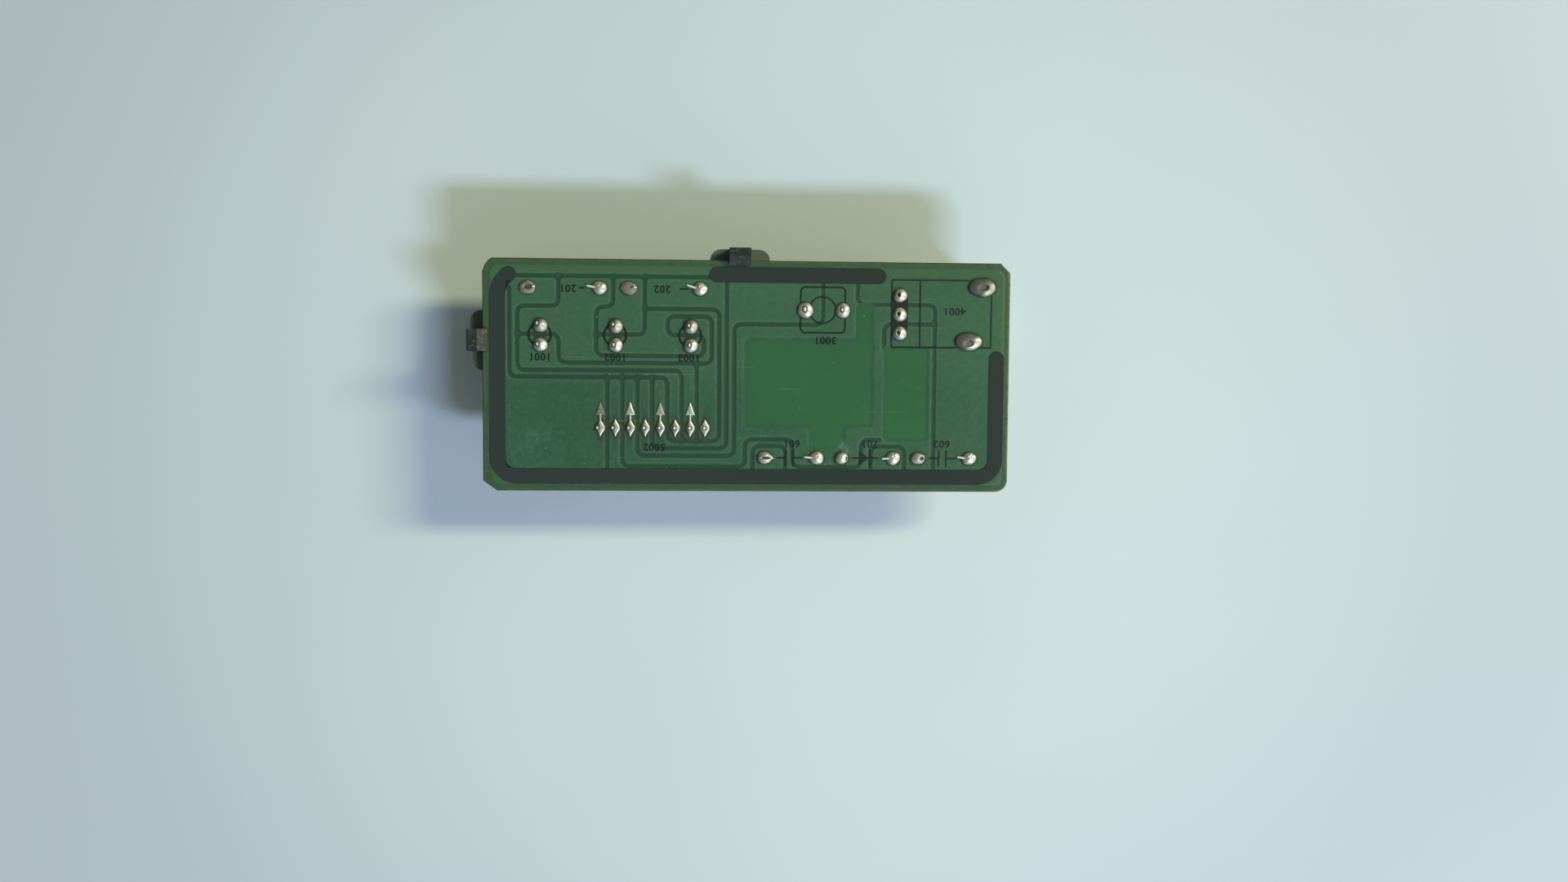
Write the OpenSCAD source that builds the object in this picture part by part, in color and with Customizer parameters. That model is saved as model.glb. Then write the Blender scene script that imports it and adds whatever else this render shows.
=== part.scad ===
// Display board of a split air conditioner: a single-sided circuit board that carries three
// lights in a clipped black holder, an infrared receiver in a metal can, a push switch,
// an eight-pin header and five axial parts.
// It lies on its component side, so its solder side is up.  Millimetres, +Z up.
// The origin is in the middle of the outline, at the height the holder and the can stand on.

/* [Board] */
// Length of the board, left to right
board_l = 70.75; // [70:0.25:80]
// Width of the board
board_w = 31; // [30.5:0.5:40]
// Thickness of the laminate
board_t = 1.6; // [0.8:0.1:2.4]
// Radius of the board's round corners
corner_r = 1.6; // [0.5:0.1:1.8]
// Cut across the corner by the receiver
corner_cut = 1.3; // [0.4:0.1:1.6]
// Thickness of the copper with its solder mask
foil_t = 0.07; // [0.04:0.01:0.15]
// Thickness of the printed ink
ink_t = 0.02; // [0.01:0.005:0.04]
// Bare strip along the scored top edge
edge_top = 0.9; // [0.7:0.05:1.1]
// Bare strip along the left and bottom edges
edge_side = 0.95; // [0.7:0.05:1.1]
// Clear height under the board
stand_h = 10; // [9:0.5:14]

/* [Copper and print] */
// Width of the etched line between two copper fields
etch_w = 0.48; // [0.3:0.02:0.55]
// Radius of an etched line's corner
etch_r = 0.9; // [0.5:0.05:0.95]
// Width of the broad printed line
bar_w = 2.1; // [1.6:0.1:2.2]
// Width of the thin printed line
line_w = 0.24; // [0.15:0.01:0.35]
// Radius of a broad line's bottom corner
bar_r = 2.4; // [1.6:0.1:3]

/* [Lights] */
// Middle of the first light, from the left edge
led_u = 7.6; // [7.2:0.1:8.4]
// Distance from light to light
led_pitch = 10; // [9.6:0.1:10.2]
// Middle of the row of lights, from the top edge
led_v = 10.19; // [9.8:0.01:10.6]
// Diameter of a light's lens
led_d = 3; // [2.6:0.1:3.4]
// Length of a light, from its rim to its tip
led_len = 5.3; // [4.8:0.1:5.4]
// Distance between a light's two leads
led_lead_gap = 2.54; // [2.2:0.02:2.6]

/* [Light holder] */
// Wall of the holder
hold_wall = 1.2; // [0.8:0.1:1.6]
// Plate of the holder, under the board
hold_plate = 1.2; // [0.9:0.1:1.6]
// Length of one light cell
cell_l = 7.8; // [6.6:0.1:8]
// Width of one light cell
cell_w = 7.4; // [6.6:0.1:8]
// How much narrower a light cell is at the light than at its mouth
cell_draft = 1.6; // [0.4:0.1:1.8]
// Depth of the shallow seat round a cell's mouth for its film
seat_d = 0.4; // [0.2:0.05:0.6]
// Middle of the holder's bar and its side hook, from the top edge
hold_v = 10.92; // [10.6:0.02:11.2]
// Middle of the holder's arm and its top hook, from the left edge
arm_u = 34.2; // [33.9:0.02:36]
// Length of a rounded tab past the board's edge
tab_l = 8.1; // [6:0.1:8.6]
// How far a tab stands out past the board's edge
tab_out = 1.6; // [1:0.1:1.6]
// How much further the upper half of the side tab stands out
tab_step = 0.35; // [0.1:0.05:0.4]
// Width of a snap hook
hook_w = 2.9; // [2:0.1:4]
// How far the side hook stands out past the left edge
side_hook_out = 2; // [1.7:0.1:2.4]
// How far the top hook stands out past the top edge
top_hook_out = 1.65; // [1.55:0.05:2.2]
// How far a hook reaches in over the board
hook_in = 0.7; // [0.5:0.05:1.2]
// Length of the lead-in slope on a hook's head
hook_slope = 1.25; // [0.6:0.05:1.4]
// Height of a hook's head over the board
hook_h = 1.15; // [0.8:0.05:1.6]

/* [Push switch] */
// Middle of the switch, from the middle of the space between the holder's arm and the receiver's leads
sw_off = -1.5; // [-1.6:0.02:0.4]
// Middle of the switch, from the top edge
sw_v = 6.55; // [6.2:0.05:7]
// Side of the square switch case
sw_size = 6; // [5.8:0.1:6.4]
// Height of the switch case
sw_h = 3.5; // [3.3:0.1:4]
// Diameter of the plunger
plunger_d = 3.4; // [3:0.1:3.6]
// Length of the plunger past the case
plunger_len = 3.3; // [1:0.1:4.5]
// Travel of the plunger
travel = 0.25; // [0.15:0.05:0.3]
// Distance between the two terminals
sw_pin_gap = 5.08; // [4.9:0.02:5.2]

/* [Receiver] */
// Middle of the can, from the right edge
can_u = 7.4; // [7.25:0.05:7.65]
// Middle of the can, from the top edge
can_v = 6.9; // [6.7:0.05:7.2]
// Length of the can
can_l = 9.7; // [9.5:0.1:10]
// Width of the can
can_w = 9.05; // [9:0.05:9.4]
// Sheet of the can
can_t = 0.3; // [0.2:0.05:0.4]
// Diameter of the can's window
window_d = 5.6; // [5:0.1:6.4]
// Row of the three leads, from the right edge
rec_lead_u = 15; // [14.85:0.05:15.25]
// Distance from lead to lead
rec_pitch = 2.54; // [2.4:0.02:2.54]

/* [Header] */
// Number of pins
pin_n = 8; // [6:1:8]
// Distance from pin to pin
pin_pitch = 2; // [1.96:0.01:2.02]
// First pin, from the left edge
pin_u = 15.55; // [15.4:0.05:16]
// Row of pins, from the bottom edge
pin_v = 8.5; // [8.3:0.1:8.8]
// Side of the square pin
pin_s = 0.5; // [0.4:0.02:0.54]
// Height of the header's housing
head_h = 6; // [5:0.1:7]
// Width of the header's housing
head_w = 4.5; // [4.3:0.1:4.8]
// Wall of the header's housing
head_wall = 0.7; // [0.5:0.05:0.8]
// Floor of the header's housing
head_floor = 1.6; // [1.2:0.1:2]

/* [Axial parts] */
// Distance between a resistor's leads
res_gap = 9.55; // [9.2:0.05:10]
// Distance between the leads of a capacitor or the diode
small_gap = 7.05; // [6.9:0.05:7.2]
// First lead of the last capacitor, from the right edge
small_u = 12.35; // [12.15:0.05:12.85]
// Distance from one small part to the next
small_pitch = 10.4; // [10.3:0.05:10.6]
// Row of the small parts, from the bottom edge
small_low = 4.55; // [4.2:0.05:4.8]
// First lead of the first resistor, from the left edge
res_u = 5.9; // [5.6:0.1:6.4]
// Distance from one resistor to the next
res_pitch = 13.4; // [13:0.1:13.8]
// Row of the resistors, from the top edge
res_v = 3.88; // [3.6:0.02:3.9]
// Diameter of a lead
wire_d = 0.5; // [0.4:0.02:0.6]
// Diameter of a resistor's body
res_d = 2.3; // [1.9:0.1:2.5]
// Length of a resistor's body
res_l = 6.3; // [5.6:0.1:6.6]
// Diameter of a capacitor's body
cap_d = 2.4; // [2:0.1:2.6]
// Length of a capacitor's body
cap_l = 3.8; // [3.2:0.1:4.2]
// Diameter of the diode's body
dio_d = 1.9; // [1.6:0.1:2.2]
// Length of the diode's body
dio_l = 3.9; // [3.2:0.1:4.2]

/* [Solder] */
// Radius of a small round joint
joint_r = 0.95; // [0.75:0.05:1]
// Height of a joint
joint_h = 0.75; // [0.5:0.05:1]
// How far a lead's tinned tip stands out of its joint
tip_h = 0.3; // [0.15:0.05:0.5]

/* [Hidden] */
$fn = 32;

// Fits: sliding, snug, and the play of a lead in its hole
slide_fit = 0.1;
snug_fit = 0.02;
hook_fit = 0.05;
edge_fit = 0.15;
hole_play = 0.2;
seat_gap = 0.1;
print_play = 0.06;
eps = 0.5;

// Heights of the board's faces
z_under = stand_h;
z_top = z_under + board_t;
z_foil = z_top + foil_t;

// Places on the board: u runs right from the left edge, v runs down from the top edge
left_reach = max(side_hook_out, tab_out + tab_step);
top_reach = max(top_hook_out, tab_out);
function x_of(u) = u - (board_l - left_reach) / 2;
function y_of(v) = (board_w - top_reach) / 2 - v;
function xy(p) = [x_of(p[0]), y_of(p[1])];
function from_right(d) = board_l - d;
function from_bottom(d) = board_w - d;
module at(u, v, z = 0) translate([x_of(u), y_of(v), z]) children();
module on_foil(u, v) at(u, v, z_foil) children();

// Outline of a rectangle whose four corners each have a radius and a number of steps
function corner(c, r, from, n) = [for (i = [0 : n]) c + r * [cos(from + 90 * i / n), sin(from + 90 * i / n)]];
function round_box(x0, y0, x1, y1, r, n = [6, 6, 6, 6]) = concat(
    corner([x0 + r[0], y0 + r[0]], r[0], 180, n[0]),
    corner([x1 - r[1], y0 + r[1]], r[1], 270, n[1]),
    corner([x1 - r[2], y1 - r[2]], r[2], 0, n[2]),
    corner([x0 + r[3], y1 - r[3]], r[3], 90, n[3]));
function even_box(l, w, r) = round_box(-l / 2, -w / 2, l / 2, w / 2, [r, r, r, r]);

// Band along a line of square turns: each turn becomes an arc of radius r on the middle line
function unit(a) = a / norm(a);
function left_of(d) = [-d[1], d[0]];
function turn_side(p, i, r, s, n) = let (
    a = unit(p[i] - p[i - 1]),
    b = unit(p[i + 1] - p[i]),
    c = p[i] + r * (b - a),
    q = r - sign(cross(a, b)) * s)
    [for (k = [0 : n]) c + q * (a * sin(90 * k / n) - b * cos(90 * k / n))];
function band_side(p, r, s, n) = let (m = len(p) - 1) concat(
    [p[0] + s * left_of(unit(p[1] - p[0]))],
    [for (i = [1 : 1 : m - 1]) each turn_side(p, i, r, s, n)],
    [p[m] + s * left_of(unit(p[m] - p[m - 1]))]);
function reversed(a) = [for (i = [len(a) - 1 : -1 : 0]) a[i]];
function band(p, w, r, n = 3) = concat(band_side(p, r, w / 2, n), reversed(band_side(p, r, -w / 2, n)));
function arc_band(c, r, w, a0, a1, n = 6) = concat(
    [for (i = [0 : n]) c + (r + w / 2) * [cos(a0 + (a1 - a0) * i / n), sin(a0 + (a1 - a0) * i / n)]],
    [for (i = [n : -1 : 0]) c + (r - w / 2) * [cos(a0 + (a1 - a0) * i / n), sin(a0 + (a1 - a0) * i / n)]]);
module band_on(p, w, r, n = 3) polygon(band([for (q = p) xy(q)], w, r, n));

// Places of the parts
led_us = [for (i = [0 : 2]) led_u + i * led_pitch];
led_vs = [led_v - led_lead_gap / 2, led_v + led_lead_gap / 2];
pin_us = [for (i = [0 : pin_n - 1]) pin_u + i * pin_pitch];
row_v = from_bottom(pin_v);
rec_u = from_right(rec_lead_u);
sw_u = (arm_u + tab_l / 2 + rec_u) / 2 + sw_off;
sw_us = [sw_u - sw_pin_gap / 2, sw_u + sw_pin_gap / 2];
rec_vs = [for (i = [-1 : 1]) can_v + 0.1 + i * rec_pitch];
tab_l_u = from_right(3.85);
tab_r_u = from_right(5.65);
tab_in = 0.86;
tab_sheet_l = 1.5;
tab_places = [[tab_l_u, can_v - can_w / 2 + tab_in], [tab_r_u, can_v + can_w / 2 - tab_in]];
res_us = [res_u, res_u + res_pitch];
small_v = from_bottom(small_low);
cap_us = [from_right(small_u + 2 * small_pitch), from_right(small_u)];
dio_u = from_right(small_u + small_pitch);
wire_r = wire_d / 2;
hole_r = wire_r + hole_play;
pin_hole_r = pin_s * 0.71 + 0.06;
round_holes = concat(
    [for (u = led_us) for (v = led_vs) [u, v]],
    [for (u = sw_us) [u, sw_v]],
    [for (v = rec_vs) [rec_u, v]],
    [for (u = res_us) each [[u, res_v], [u + res_gap, res_v]]],
    [for (u = cap_us) each [[u, small_v], [u + small_gap, small_v]]],
    [[dio_u, small_v], [dio_u + small_gap, small_v]]);

// ---------- board ----------
// One corner of the board: the middle its legs start from, the legs, and how full it is, from 1, a straight cut,
// to 2, a round; odd corners run the other way
low_cut = [1.85, 1.35];
top_cut = [1.3, 1.85];
top_full = 1.45;
function board_corner(legs, full, odd, n) = let (at = [
        legs[0] > 0 ? x_of(board_l) - legs[0] : x_of(0) - legs[0],
        legs[1] > 0 ? y_of(0) - legs[1] : y_of(board_w) - legs[1]])
    [for (k = [0 : n]) let (
        c = k == n ? 0 : pow(cos(90 * k / n), 2 / full),
        s = k == 0 ? 0 : pow(sin(90 * k / n), 2 / full))
        at + (odd ? [legs[0] * s, legs[1] * c] : [legs[0] * c, legs[1] * s])];
module board_outline() polygon(concat(
    board_corner(-low_cut, 1, false, 1),
    board_corner([corner_r, -corner_r], 2, true, 6),
    board_corner([corner_cut, corner_cut], 1, false, 1),
    board_corner([-top_cut[0], top_cut[1]], top_full, true, 5)));
module drill(grow = 0) {
    for (p = round_holes) translate(xy(p)) circle(hole_r + grow);
    for (u = pin_us) translate(xy([u, row_v])) circle(pin_hole_r + grow);
    for (p = tab_places) translate(xy(p))
        square([tab_sheet_l + 2 * hole_play + 2 * grow, can_t + 2 * hole_play + 2 * grow], center = true);
}
module board() color("#b79a5e") translate([0, 0, z_under]) linear_extrude(board_t) difference() {
    board_outline();
    drill();
}

// ---------- copper ----------
between = [for (i = [0 : pin_n - 2]) pin_u + pin_pitch * (i + 0.46)];
top_line = 2.3;
between_w = 1.95;
light_low_v = 14.79;
track_v = 15.73;
low_v = from_bottom(3);
foot_v = from_bottom(6.8);
step_v = from_bottom(7.05);
mid_u = from_right(10.25);
join_v = from_bottom(3.35);
island_v = from_bottom(6.15);
strip_u = from_right(20.75);
bare_u0 = 34.8;
bare_u1 = from_right(18.6);
bare_v0 = 10.27;
bare_low = from_bottom(5.7);
bare_b0 = mid_u - 6.9;
bare_b1 = mid_u - 0.8;
etch_paths = [
    [[4.2, top_line], [30.1, top_line]],
    [[3.5, 3.87], [3.5, track_v], [between[4], track_v], [between[4], foot_v], [31.4, foot_v],
        [31.4, 6.55], [21.45, 6.55]],
    [[10, top_line], [10, 6.3], [4.55, 6.3], [4.55, light_low_v], [between[4] + between_w, light_low_v],
        [between[4] + between_w, foot_v]],
    [[4.55, 10.03], [10, 10.03], [10, 13.8], [30.4, 13.8], [30.4, 7.54], [24.5, 7.54], [24.5, 10.03],
        [29.35, 10.03], [29.35, 12.85], [15, 12.85], [15, 6.35], [17.25, 6.35], [17.25, top_line]],
    [[15, 10.03], [21.45, 10.03], [21.45, top_line]],
    [[28.4, 13.8], [28.4, foot_v]],
    [[between[3], track_v], [between[3], from_bottom(5.8)], [32.4, from_bottom(5.8)], [32.4, 3.03]],
    [[between[2], track_v], [between[2], from_bottom(4.8)], [33.45, from_bottom(4.8)], [33.45, 8.49],
        [45.35, 8.49], [45.35, 3.03]],
    [[between[1], track_v], [between[1], join_v], [cap_us[0] - 2.7, join_v], [cap_us[0] - 2.7, step_v],
        [cap_us[0] + 3.75, step_v], [cap_us[0] + 3.75, join_v], [dio_u + 2.65, join_v],
        [dio_u + 2.65, step_v], [dio_u + 5.15, step_v]],
    [[between[0], track_v], [between[0], low_v]],
    [[cap_us[0] - 1.65, low_v], [cap_us[0] - 1.65, island_v], [cap_us[0] + 2.75, island_v], [cap_us[0] + 2.75, low_v]],
    [[dio_u + 4, low_v], [dio_u + 4, island_v], [dio_u + 8.55, island_v], [dio_u + 8.55, low_v]],
    [[strip_u, 3.03], [strip_u, 5.71], [mid_u, 5.71], [mid_u, low_v]],
    [[mid_u, 8.29], [mid_u - 6.85, 8.29], [mid_u - 6.85, 12.1]]];
bare_end = from_bottom(8.7);
module bare_field(u0, v0, u1, v1, r) polygon(round_box(x_of(u0), y_of(v1), x_of(u1), y_of(v0), [r, r, r, r], [3, 3, 3, 3]));
foil_r = 1.1;
edge_right = 0.85;
bare_b_v = 11.3;
bare_b_low = from_bottom(6.9);
module foil_outline() polygon(round_box(x_of(edge_side), y_of(board_w - edge_side), x_of(board_l - edge_right),
    y_of(edge_top), [foil_r, foil_r, corner_cut, foil_r], [4, 4, 1, 4]));
module copper_foil() color("#38594a") translate([0, 0, z_top]) difference() {
    linear_extrude(foil_t) foil_outline();
    translate([0, 0, -eps]) linear_extrude(foil_t + 2 * eps) {
        for (p = etch_paths) band_on(p, etch_w, etch_r);
        bare_field(bare_u0, bare_v0, bare_u1, bare_end, 0.7);
        bare_field(bare_u1 - 8.65, bare_v0 + 2, bare_u1 - 3.7, bare_low, 0.6);
        bare_field(strip_u - 0.2, 5.66, bare_u1, bare_v0 + 2, 0.4);
        bare_field(bare_b0, bare_b_v, bare_b1, bare_b_low, 0.6);
        drill();
    }
}

// ---------- print ----------
bar_u = 1.97;
bar_low = from_bottom(2);
bar_right = from_right(1.76);
bar_arc_r = 3.55;
bar_top = 5;
bar_stop = 12.9;
short_us = [31.07, 52.83];
short_v = 1.93;
bar_end_a = 126;
function bar_arc_mid() = xy([bar_u + bar_arc_r, bar_top]);
rec_v0 = can_v - can_w / 2 - 0.02;
rec_v1 = can_v + can_w / 2 - 0.02;
rec_left = rec_u - 1.1;
rec_right = from_right(2.55);
rec_mid = from_right(12.25);
module ring(u, v, r, w) translate(xy([u, v])) difference() {
    circle(r + w / 2);
    circle(r - w / 2);
}
module box_line(u0, v0, u1, v1, r, w) difference() {
    polygon(round_box(x_of(u0) - w / 2, y_of(v1) - w / 2, x_of(u1) + w / 2, y_of(v0) + w / 2,
        [for (i = [0 : 3]) r + w / 2], [4, 4, 4, 4]));
    polygon(round_box(x_of(u0) + w / 2, y_of(v1) + w / 2, x_of(u1) - w / 2, y_of(v0) - w / 2,
        [for (i = [0 : 3]) r - w / 2], [4, 4, 4, 4]));
}
module cap_symbol(u) {
    band_on([[u, small_v], [u + 1.2, small_v]], line_w, 0);
    band_on([[u + 2.3, small_v], [u + 3.6, small_v]], line_w, 0);
    for (k = [1.3, 2.3]) band_on([[u + k, small_v - 1.1], [u + k, small_v + 1.1]], line_w, 0);
}
module diode_symbol(u) {
    band_on([[u, small_v], [u + 1, small_v]], line_w, 0);
    band_on([[u + 2.4, small_v], [u + 3.6, small_v]], line_w, 0);
    band_on([[u + 2.4, small_v - 1.3], [u + 2.4, small_v + 1.3]], line_w, 0);
    polygon([xy([u + 1, small_v - 0.9]), xy([u + 1, small_v + 0.9]), xy([u + 2.3, small_v])]);
}
module joint_shadow() {
    for (u = led_us) for (v = led_vs) translate(xy([u, v])) circle(joint_r + print_play);
    for (u = sw_us) translate(xy([u, sw_v])) circle(sw_joint_r + print_play);
    for (v = rec_vs) translate(xy([rec_u, v])) circle(joint_r + print_play);
    for (p = tab_places) translate(xy(p)) polygon(even_box(tab_joint_l + 2 * print_play,
        tab_joint_w + 2 * print_play, tab_joint_w / 2));
    for (a = axial_joints) translate(xy(a[0])) rotate(a[3]) {
        translate([a[4], 0]) polygon(even_box(a[1] + 2 * print_play, a[2] + 2 * print_play, a[2] / 2));
        translate([-a[5] / 2, 0]) square([a[5] + 2 * print_play, tail_w + 2 * print_play], center = true);
    }
}
module printed_marks() color("#2f3734") translate([0, 0, z_foil]) linear_extrude(ink_t) difference() {
    union() {
        band_on([[bar_u, bar_top], [bar_u, bar_low], [bar_right, bar_low], [bar_right, bar_stop]], bar_w, bar_r, 6);
        polygon(arc_band(bar_arc_mid(), bar_arc_r, bar_w, bar_end_a, 180));
        translate(bar_arc_mid() + bar_arc_r * [cos(bar_end_a), sin(bar_end_a)]) circle(bar_w / 2);
        translate(xy([bar_right, bar_stop])) circle(bar_w / 2);
        band_on([[short_us[0], short_v], [short_us[1], short_v]], bar_w, 0);
        for (u = short_us) translate(xy([u, short_v])) circle(bar_w / 2);
        translate(xy([rec_left, rec_vs[1] + 2.05])) square([2.2, 4.5]);
        box_line(rec_left, rec_v0, rec_right, rec_v1, 0.2, line_w);
        band_on([[rec_mid, rec_v0], [rec_mid, rec_v1]], line_w, 0);
        box_line(sw_u - sw_size / 2 - 0.15, sw_v - sw_size / 2 - 0.1, sw_u + sw_size / 2 - 0.15,
            sw_v + sw_size / 2, 0.6, line_w);
        ring(sw_u - 0.2, sw_v - 0.05, 1.78, line_w);
        for (u = led_us) ring(u - 0.05, led_v - 0.07, 1.48, line_w + 0.06);
        cap_symbol(cap_us[0] + 1.6);
        cap_symbol(cap_us[1] + 1.6);
        diode_symbol(dio_u + 1.5);
        for (u = res_us) band_on([[u + res_gap - 2.7, res_v], [u + res_gap - 1.5, res_v]], line_w, 0);
    }
    joint_shadow();
}

// ---------- light holder ----------
hold_w = cell_w + 2.5 * hold_wall;
hold_u0 = led_us[0] - cell_l / 2 - hold_wall;
hold_u1 = led_us[2] + cell_l / 2 + hold_wall;
cell_r = 0.8;
hold_r = 1.2;
tab_r = 1.5;
led_rim_d = led_d + 0.8;
rib_h = 2.4;
seat_rim = 0.6;
// One funnel of light: the meeting of two prisms, each with sloping sides
module cell() intersection() {
    rotate([90, 0, 0]) translate([0, 0, -cell_w]) linear_extrude(2 * cell_w) polygon(funnel(cell_l));
    rotate([90, 0, 90]) translate([0, 0, -cell_l]) linear_extrude(2 * cell_l) polygon(funnel(cell_w));
}
function funnel(w) = let (h = z_under - hold_plate, s = cell_draft * eps / h / 2)
    [[-w / 2 - s, -eps], [w / 2 + s, -eps], [w / 2 - cell_draft / 2, h], [cell_draft / 2 - w / 2, h]];
module side_tab() for (s = [[0, tab_l / 2, tab_r], [tab_step, 0, 0.1]])
    polygon(round_box(x_of(-tab_out - s[0]), y_of(hold_v + s[1]), x_of(hold_u0 + 2), y_of(hold_v - tab_l / 2),
        [s[2], 0.1, 0.1, tab_r], [6, 1, 1, 6]));
module top_tab() polygon(round_box(x_of(arm_u - tab_l / 2), y_of(hold_v + hold_w / 2), x_of(arm_u + tab_l / 2), y_of(-tab_out),
    [0.1, hold_r, tab_r, tab_r], [1, 6, 6, 6]));
module holder_bar() polygon(round_box(x_of(hold_u0), y_of(hold_v + hold_w / 2), x_of(hold_u1), y_of(hold_v - hold_w / 2),
    [hold_r, hold_r, hold_r, hold_r]));
// Section of a hook: the board's edge is at 0, the hook reaches in to the right
function hook_section(out) = [[-out, -hold_plate], [-edge_fit, -hold_plate],
    [-edge_fit, board_t + foil_t + hook_fit], [hook_in, board_t + foil_t + hook_fit],
    [hook_in, board_t + foil_t + 0.35], [hook_in - hook_slope, board_t + foil_t + hook_h],
    [-out + 0.35, board_t + foil_t + hook_h], [-out, board_t + foil_t + hook_h - 0.4]];
module hook(out) rotate([90, 0, 0]) translate([0, 0, -hook_w / 2]) linear_extrude(hook_w)
    polygon(hook_section(out));
module light_holder() color("#26292a") difference() {
    union() {
        linear_extrude(z_under) holder_bar();
        translate([0, 0, z_under - hold_plate]) linear_extrude(hold_plate) {
            side_tab();
            top_tab();
        }
        at(0, hold_v, z_under) hook(side_hook_out);
        at(arm_u, 0, z_under) rotate([0, 0, -90]) hook(top_hook_out);
        translate([x_of(arm_u) - hold_wall / 2, y_of(hold_v - hold_w / 2), z_under - hold_plate - rib_h])
            cube([hold_wall, hold_v - hold_w / 2 - 0.5, rib_h]);
        translate([x_of(hold_u1) - hold_wall, y_of(hold_v) - hold_wall / 2, z_under - hold_plate - rib_h])
            cube([arm_u + tab_l / 2 - hold_u1, hold_wall, rib_h]);
    }
    for (u = led_us) {
        at(u, hold_v) cell();
        at(u, hold_v, -eps) linear_extrude(seat_d + eps) polygon(even_box(cell_l + seat_rim, cell_w + seat_rim, cell_r));
        at(u, led_v, 0) cylinder(h = z_under + eps, d = led_rim_d + 2 * slide_fit);
    }
}

// ---------- lights ----------
rim_t = 1;
lead_s = 0.46;
lead_in = 1.9;
module led_lead_pair(grow, top) for (v = led_vs) translate([0, led_v - v, 0])
    translate([-lead_s / 2 - grow, -lead_s / 2 - grow, z_under - lead_in - grow])
        cube([lead_s + 2 * grow, lead_s + 2 * grow, top + lead_in + grow]);
module led_lens() difference() {
    translate([0, 0, z_under]) rotate([180, 0, 0]) union() {
        difference() {
            cylinder(h = rim_t, d = led_rim_d);
            translate([led_d / 2 + 0.1, -led_rim_d, -eps]) cube([led_rim_d, 2 * led_rim_d, rim_t + 2 * eps]);
        }
        cylinder(h = led_len - led_d / 2, d = led_d);
        translate([0, 0, led_len - led_d / 2]) sphere(d = led_d);
    }
    led_lead_pair(snug_fit, eps);
}
module led_leads(u) color("#b9bcb8") at(u, led_v) led_lead_pair(0, board_t + foil_t);
module left_led() color("#8fb7a0") at(led_us[0], led_v) led_lens();
module middle_led() color("#c9a36a") at(led_us[1], led_v) led_lens();
module right_led() color("#b87068") at(led_us[2], led_v) led_lens();
module left_led_leads() led_leads(led_us[0]);
module middle_led_leads() led_leads(led_us[1]);
module right_led_leads() led_leads(led_us[2]);

// ---------- receiver ----------
can_r = 0.9;
lead_drop = 3;
lead_z = z_under - lead_drop;
rec_back = z_under - 1.8;
rec_front = 2.3;
rec_reach = 2;
rec_bend = 0.8;
rec_wall = can_t + slide_fit;
lens_rise = 1.7;
slot_w = 2 * rec_pitch + 1.4;
module receiver_can() color("#b4b8b6") {
    difference() {
        at(from_right(can_u), can_v) linear_extrude(z_under) polygon(even_box(can_l, can_w, can_r));
        at(from_right(can_u), can_v, can_t) linear_extrude(z_under)
            polygon(even_box(can_l - 2 * can_t, can_w - 2 * can_t, can_r - can_t));
        at(from_right(can_u), can_v, -eps) cylinder(h = can_t + 2 * eps, d = window_d);
        at(from_right(can_u) - can_l / 2, rec_vs[1], lead_z - 0.6) translate([-eps, -slot_w / 2, 0])
            cube([can_t + 2 * eps, slot_w, z_under]);
    }
    for (s = [0, 1]) can_tab(tab_places[s], s == 0 ? 1 : -1);
}
// A leg that steps in from the can's wall and goes up through the board
module can_tab(p, side) at(p[0], p[1]) {
    translate([-tab_sheet_l / 2, -can_t / 2, z_under - 2.2]) cube([tab_sheet_l, can_t, 2.2 + board_t + foil_t]);
    translate([-tab_sheet_l / 2, side > 0 ? -can_t / 2 : -tab_in + can_t / 2, z_under - 2.2])
        cube([tab_sheet_l, tab_in, can_t]);
}
module receiver_body() color("#2b2430") difference() {
    union() {
        at(from_right(can_u), can_v, rec_front) linear_extrude(z_under - 2.6 - rec_front)
            polygon(even_box(can_l - 2 * rec_wall, can_w - 2 * rec_wall, can_r - can_t));
        at(from_right(can_u), can_v, rec_front) intersection() {
            translate([0, 0, 1.1]) sphere(lens_rise + 1.1);
            translate([0, 0, -5]) cylinder(h = 5.5, d = window_d - 0.4);
        }
    }
    for (v = rec_vs) at(0, v) rec_lead(snug_fit);
}
module rec_lead(grow) {
    u1 = from_right(can_u) - can_l / 2 + rec_reach;
    bend = rec_bend;
    s = lead_s + 2 * grow;
    translate([rec_u + bend, -s / 2, lead_z - s / 2]) cube([u1 - rec_u - bend + grow, s, s]);
    translate([rec_u + bend, 0, lead_z + bend]) rotate([90, 0, 0]) rotate([0, 0, 180])
        rotate_extrude(angle = 90) translate([bend, 0]) square(s, center = true);
    translate([rec_u - s / 2, -s / 2, lead_z + bend]) cube([s, s, z_foil - lead_z - bend]);
}
module receiver_leads() color("#b9bcb8") for (v = rec_vs) at(0, v) rec_lead(0);

// ---------- push switch ----------
cover_t = 0.25;
flange_rim = 0.7;
sw_cavity_d = plunger_d + 2 * flange_rim;
flange_t = 0.6;
dome_rise = 0.5;
dome_t = 0.1;
z_case = z_under - sw_h + cover_t;
z_flange = z_case + 0.04;
z_dome = z_flange + flange_t + travel + 0.05;
z_floor = z_dome + dome_rise + dome_t;
term_s = 0.6;
term_in = z_under - z_floor - 0.35;
module terminal_pair(grow, top) for (u = sw_us) at(u, sw_v, z_under - term_in - grow)
    translate([-term_s / 2 - grow, -lead_s / 2 - grow, 0]) cube([term_s + 2 * grow, lead_s + 2 * grow, top + term_in + grow]);
rivet_d = 0.9;
rivet_h = 0.15;
rivet_in = 0.75;
module rivet_places() for (a = [-1, 1]) for (b = [-1, 1])
    translate([a * (sw_size / 2 - rivet_in), b * (sw_size / 2 - rivet_in), 0]) children();
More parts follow.
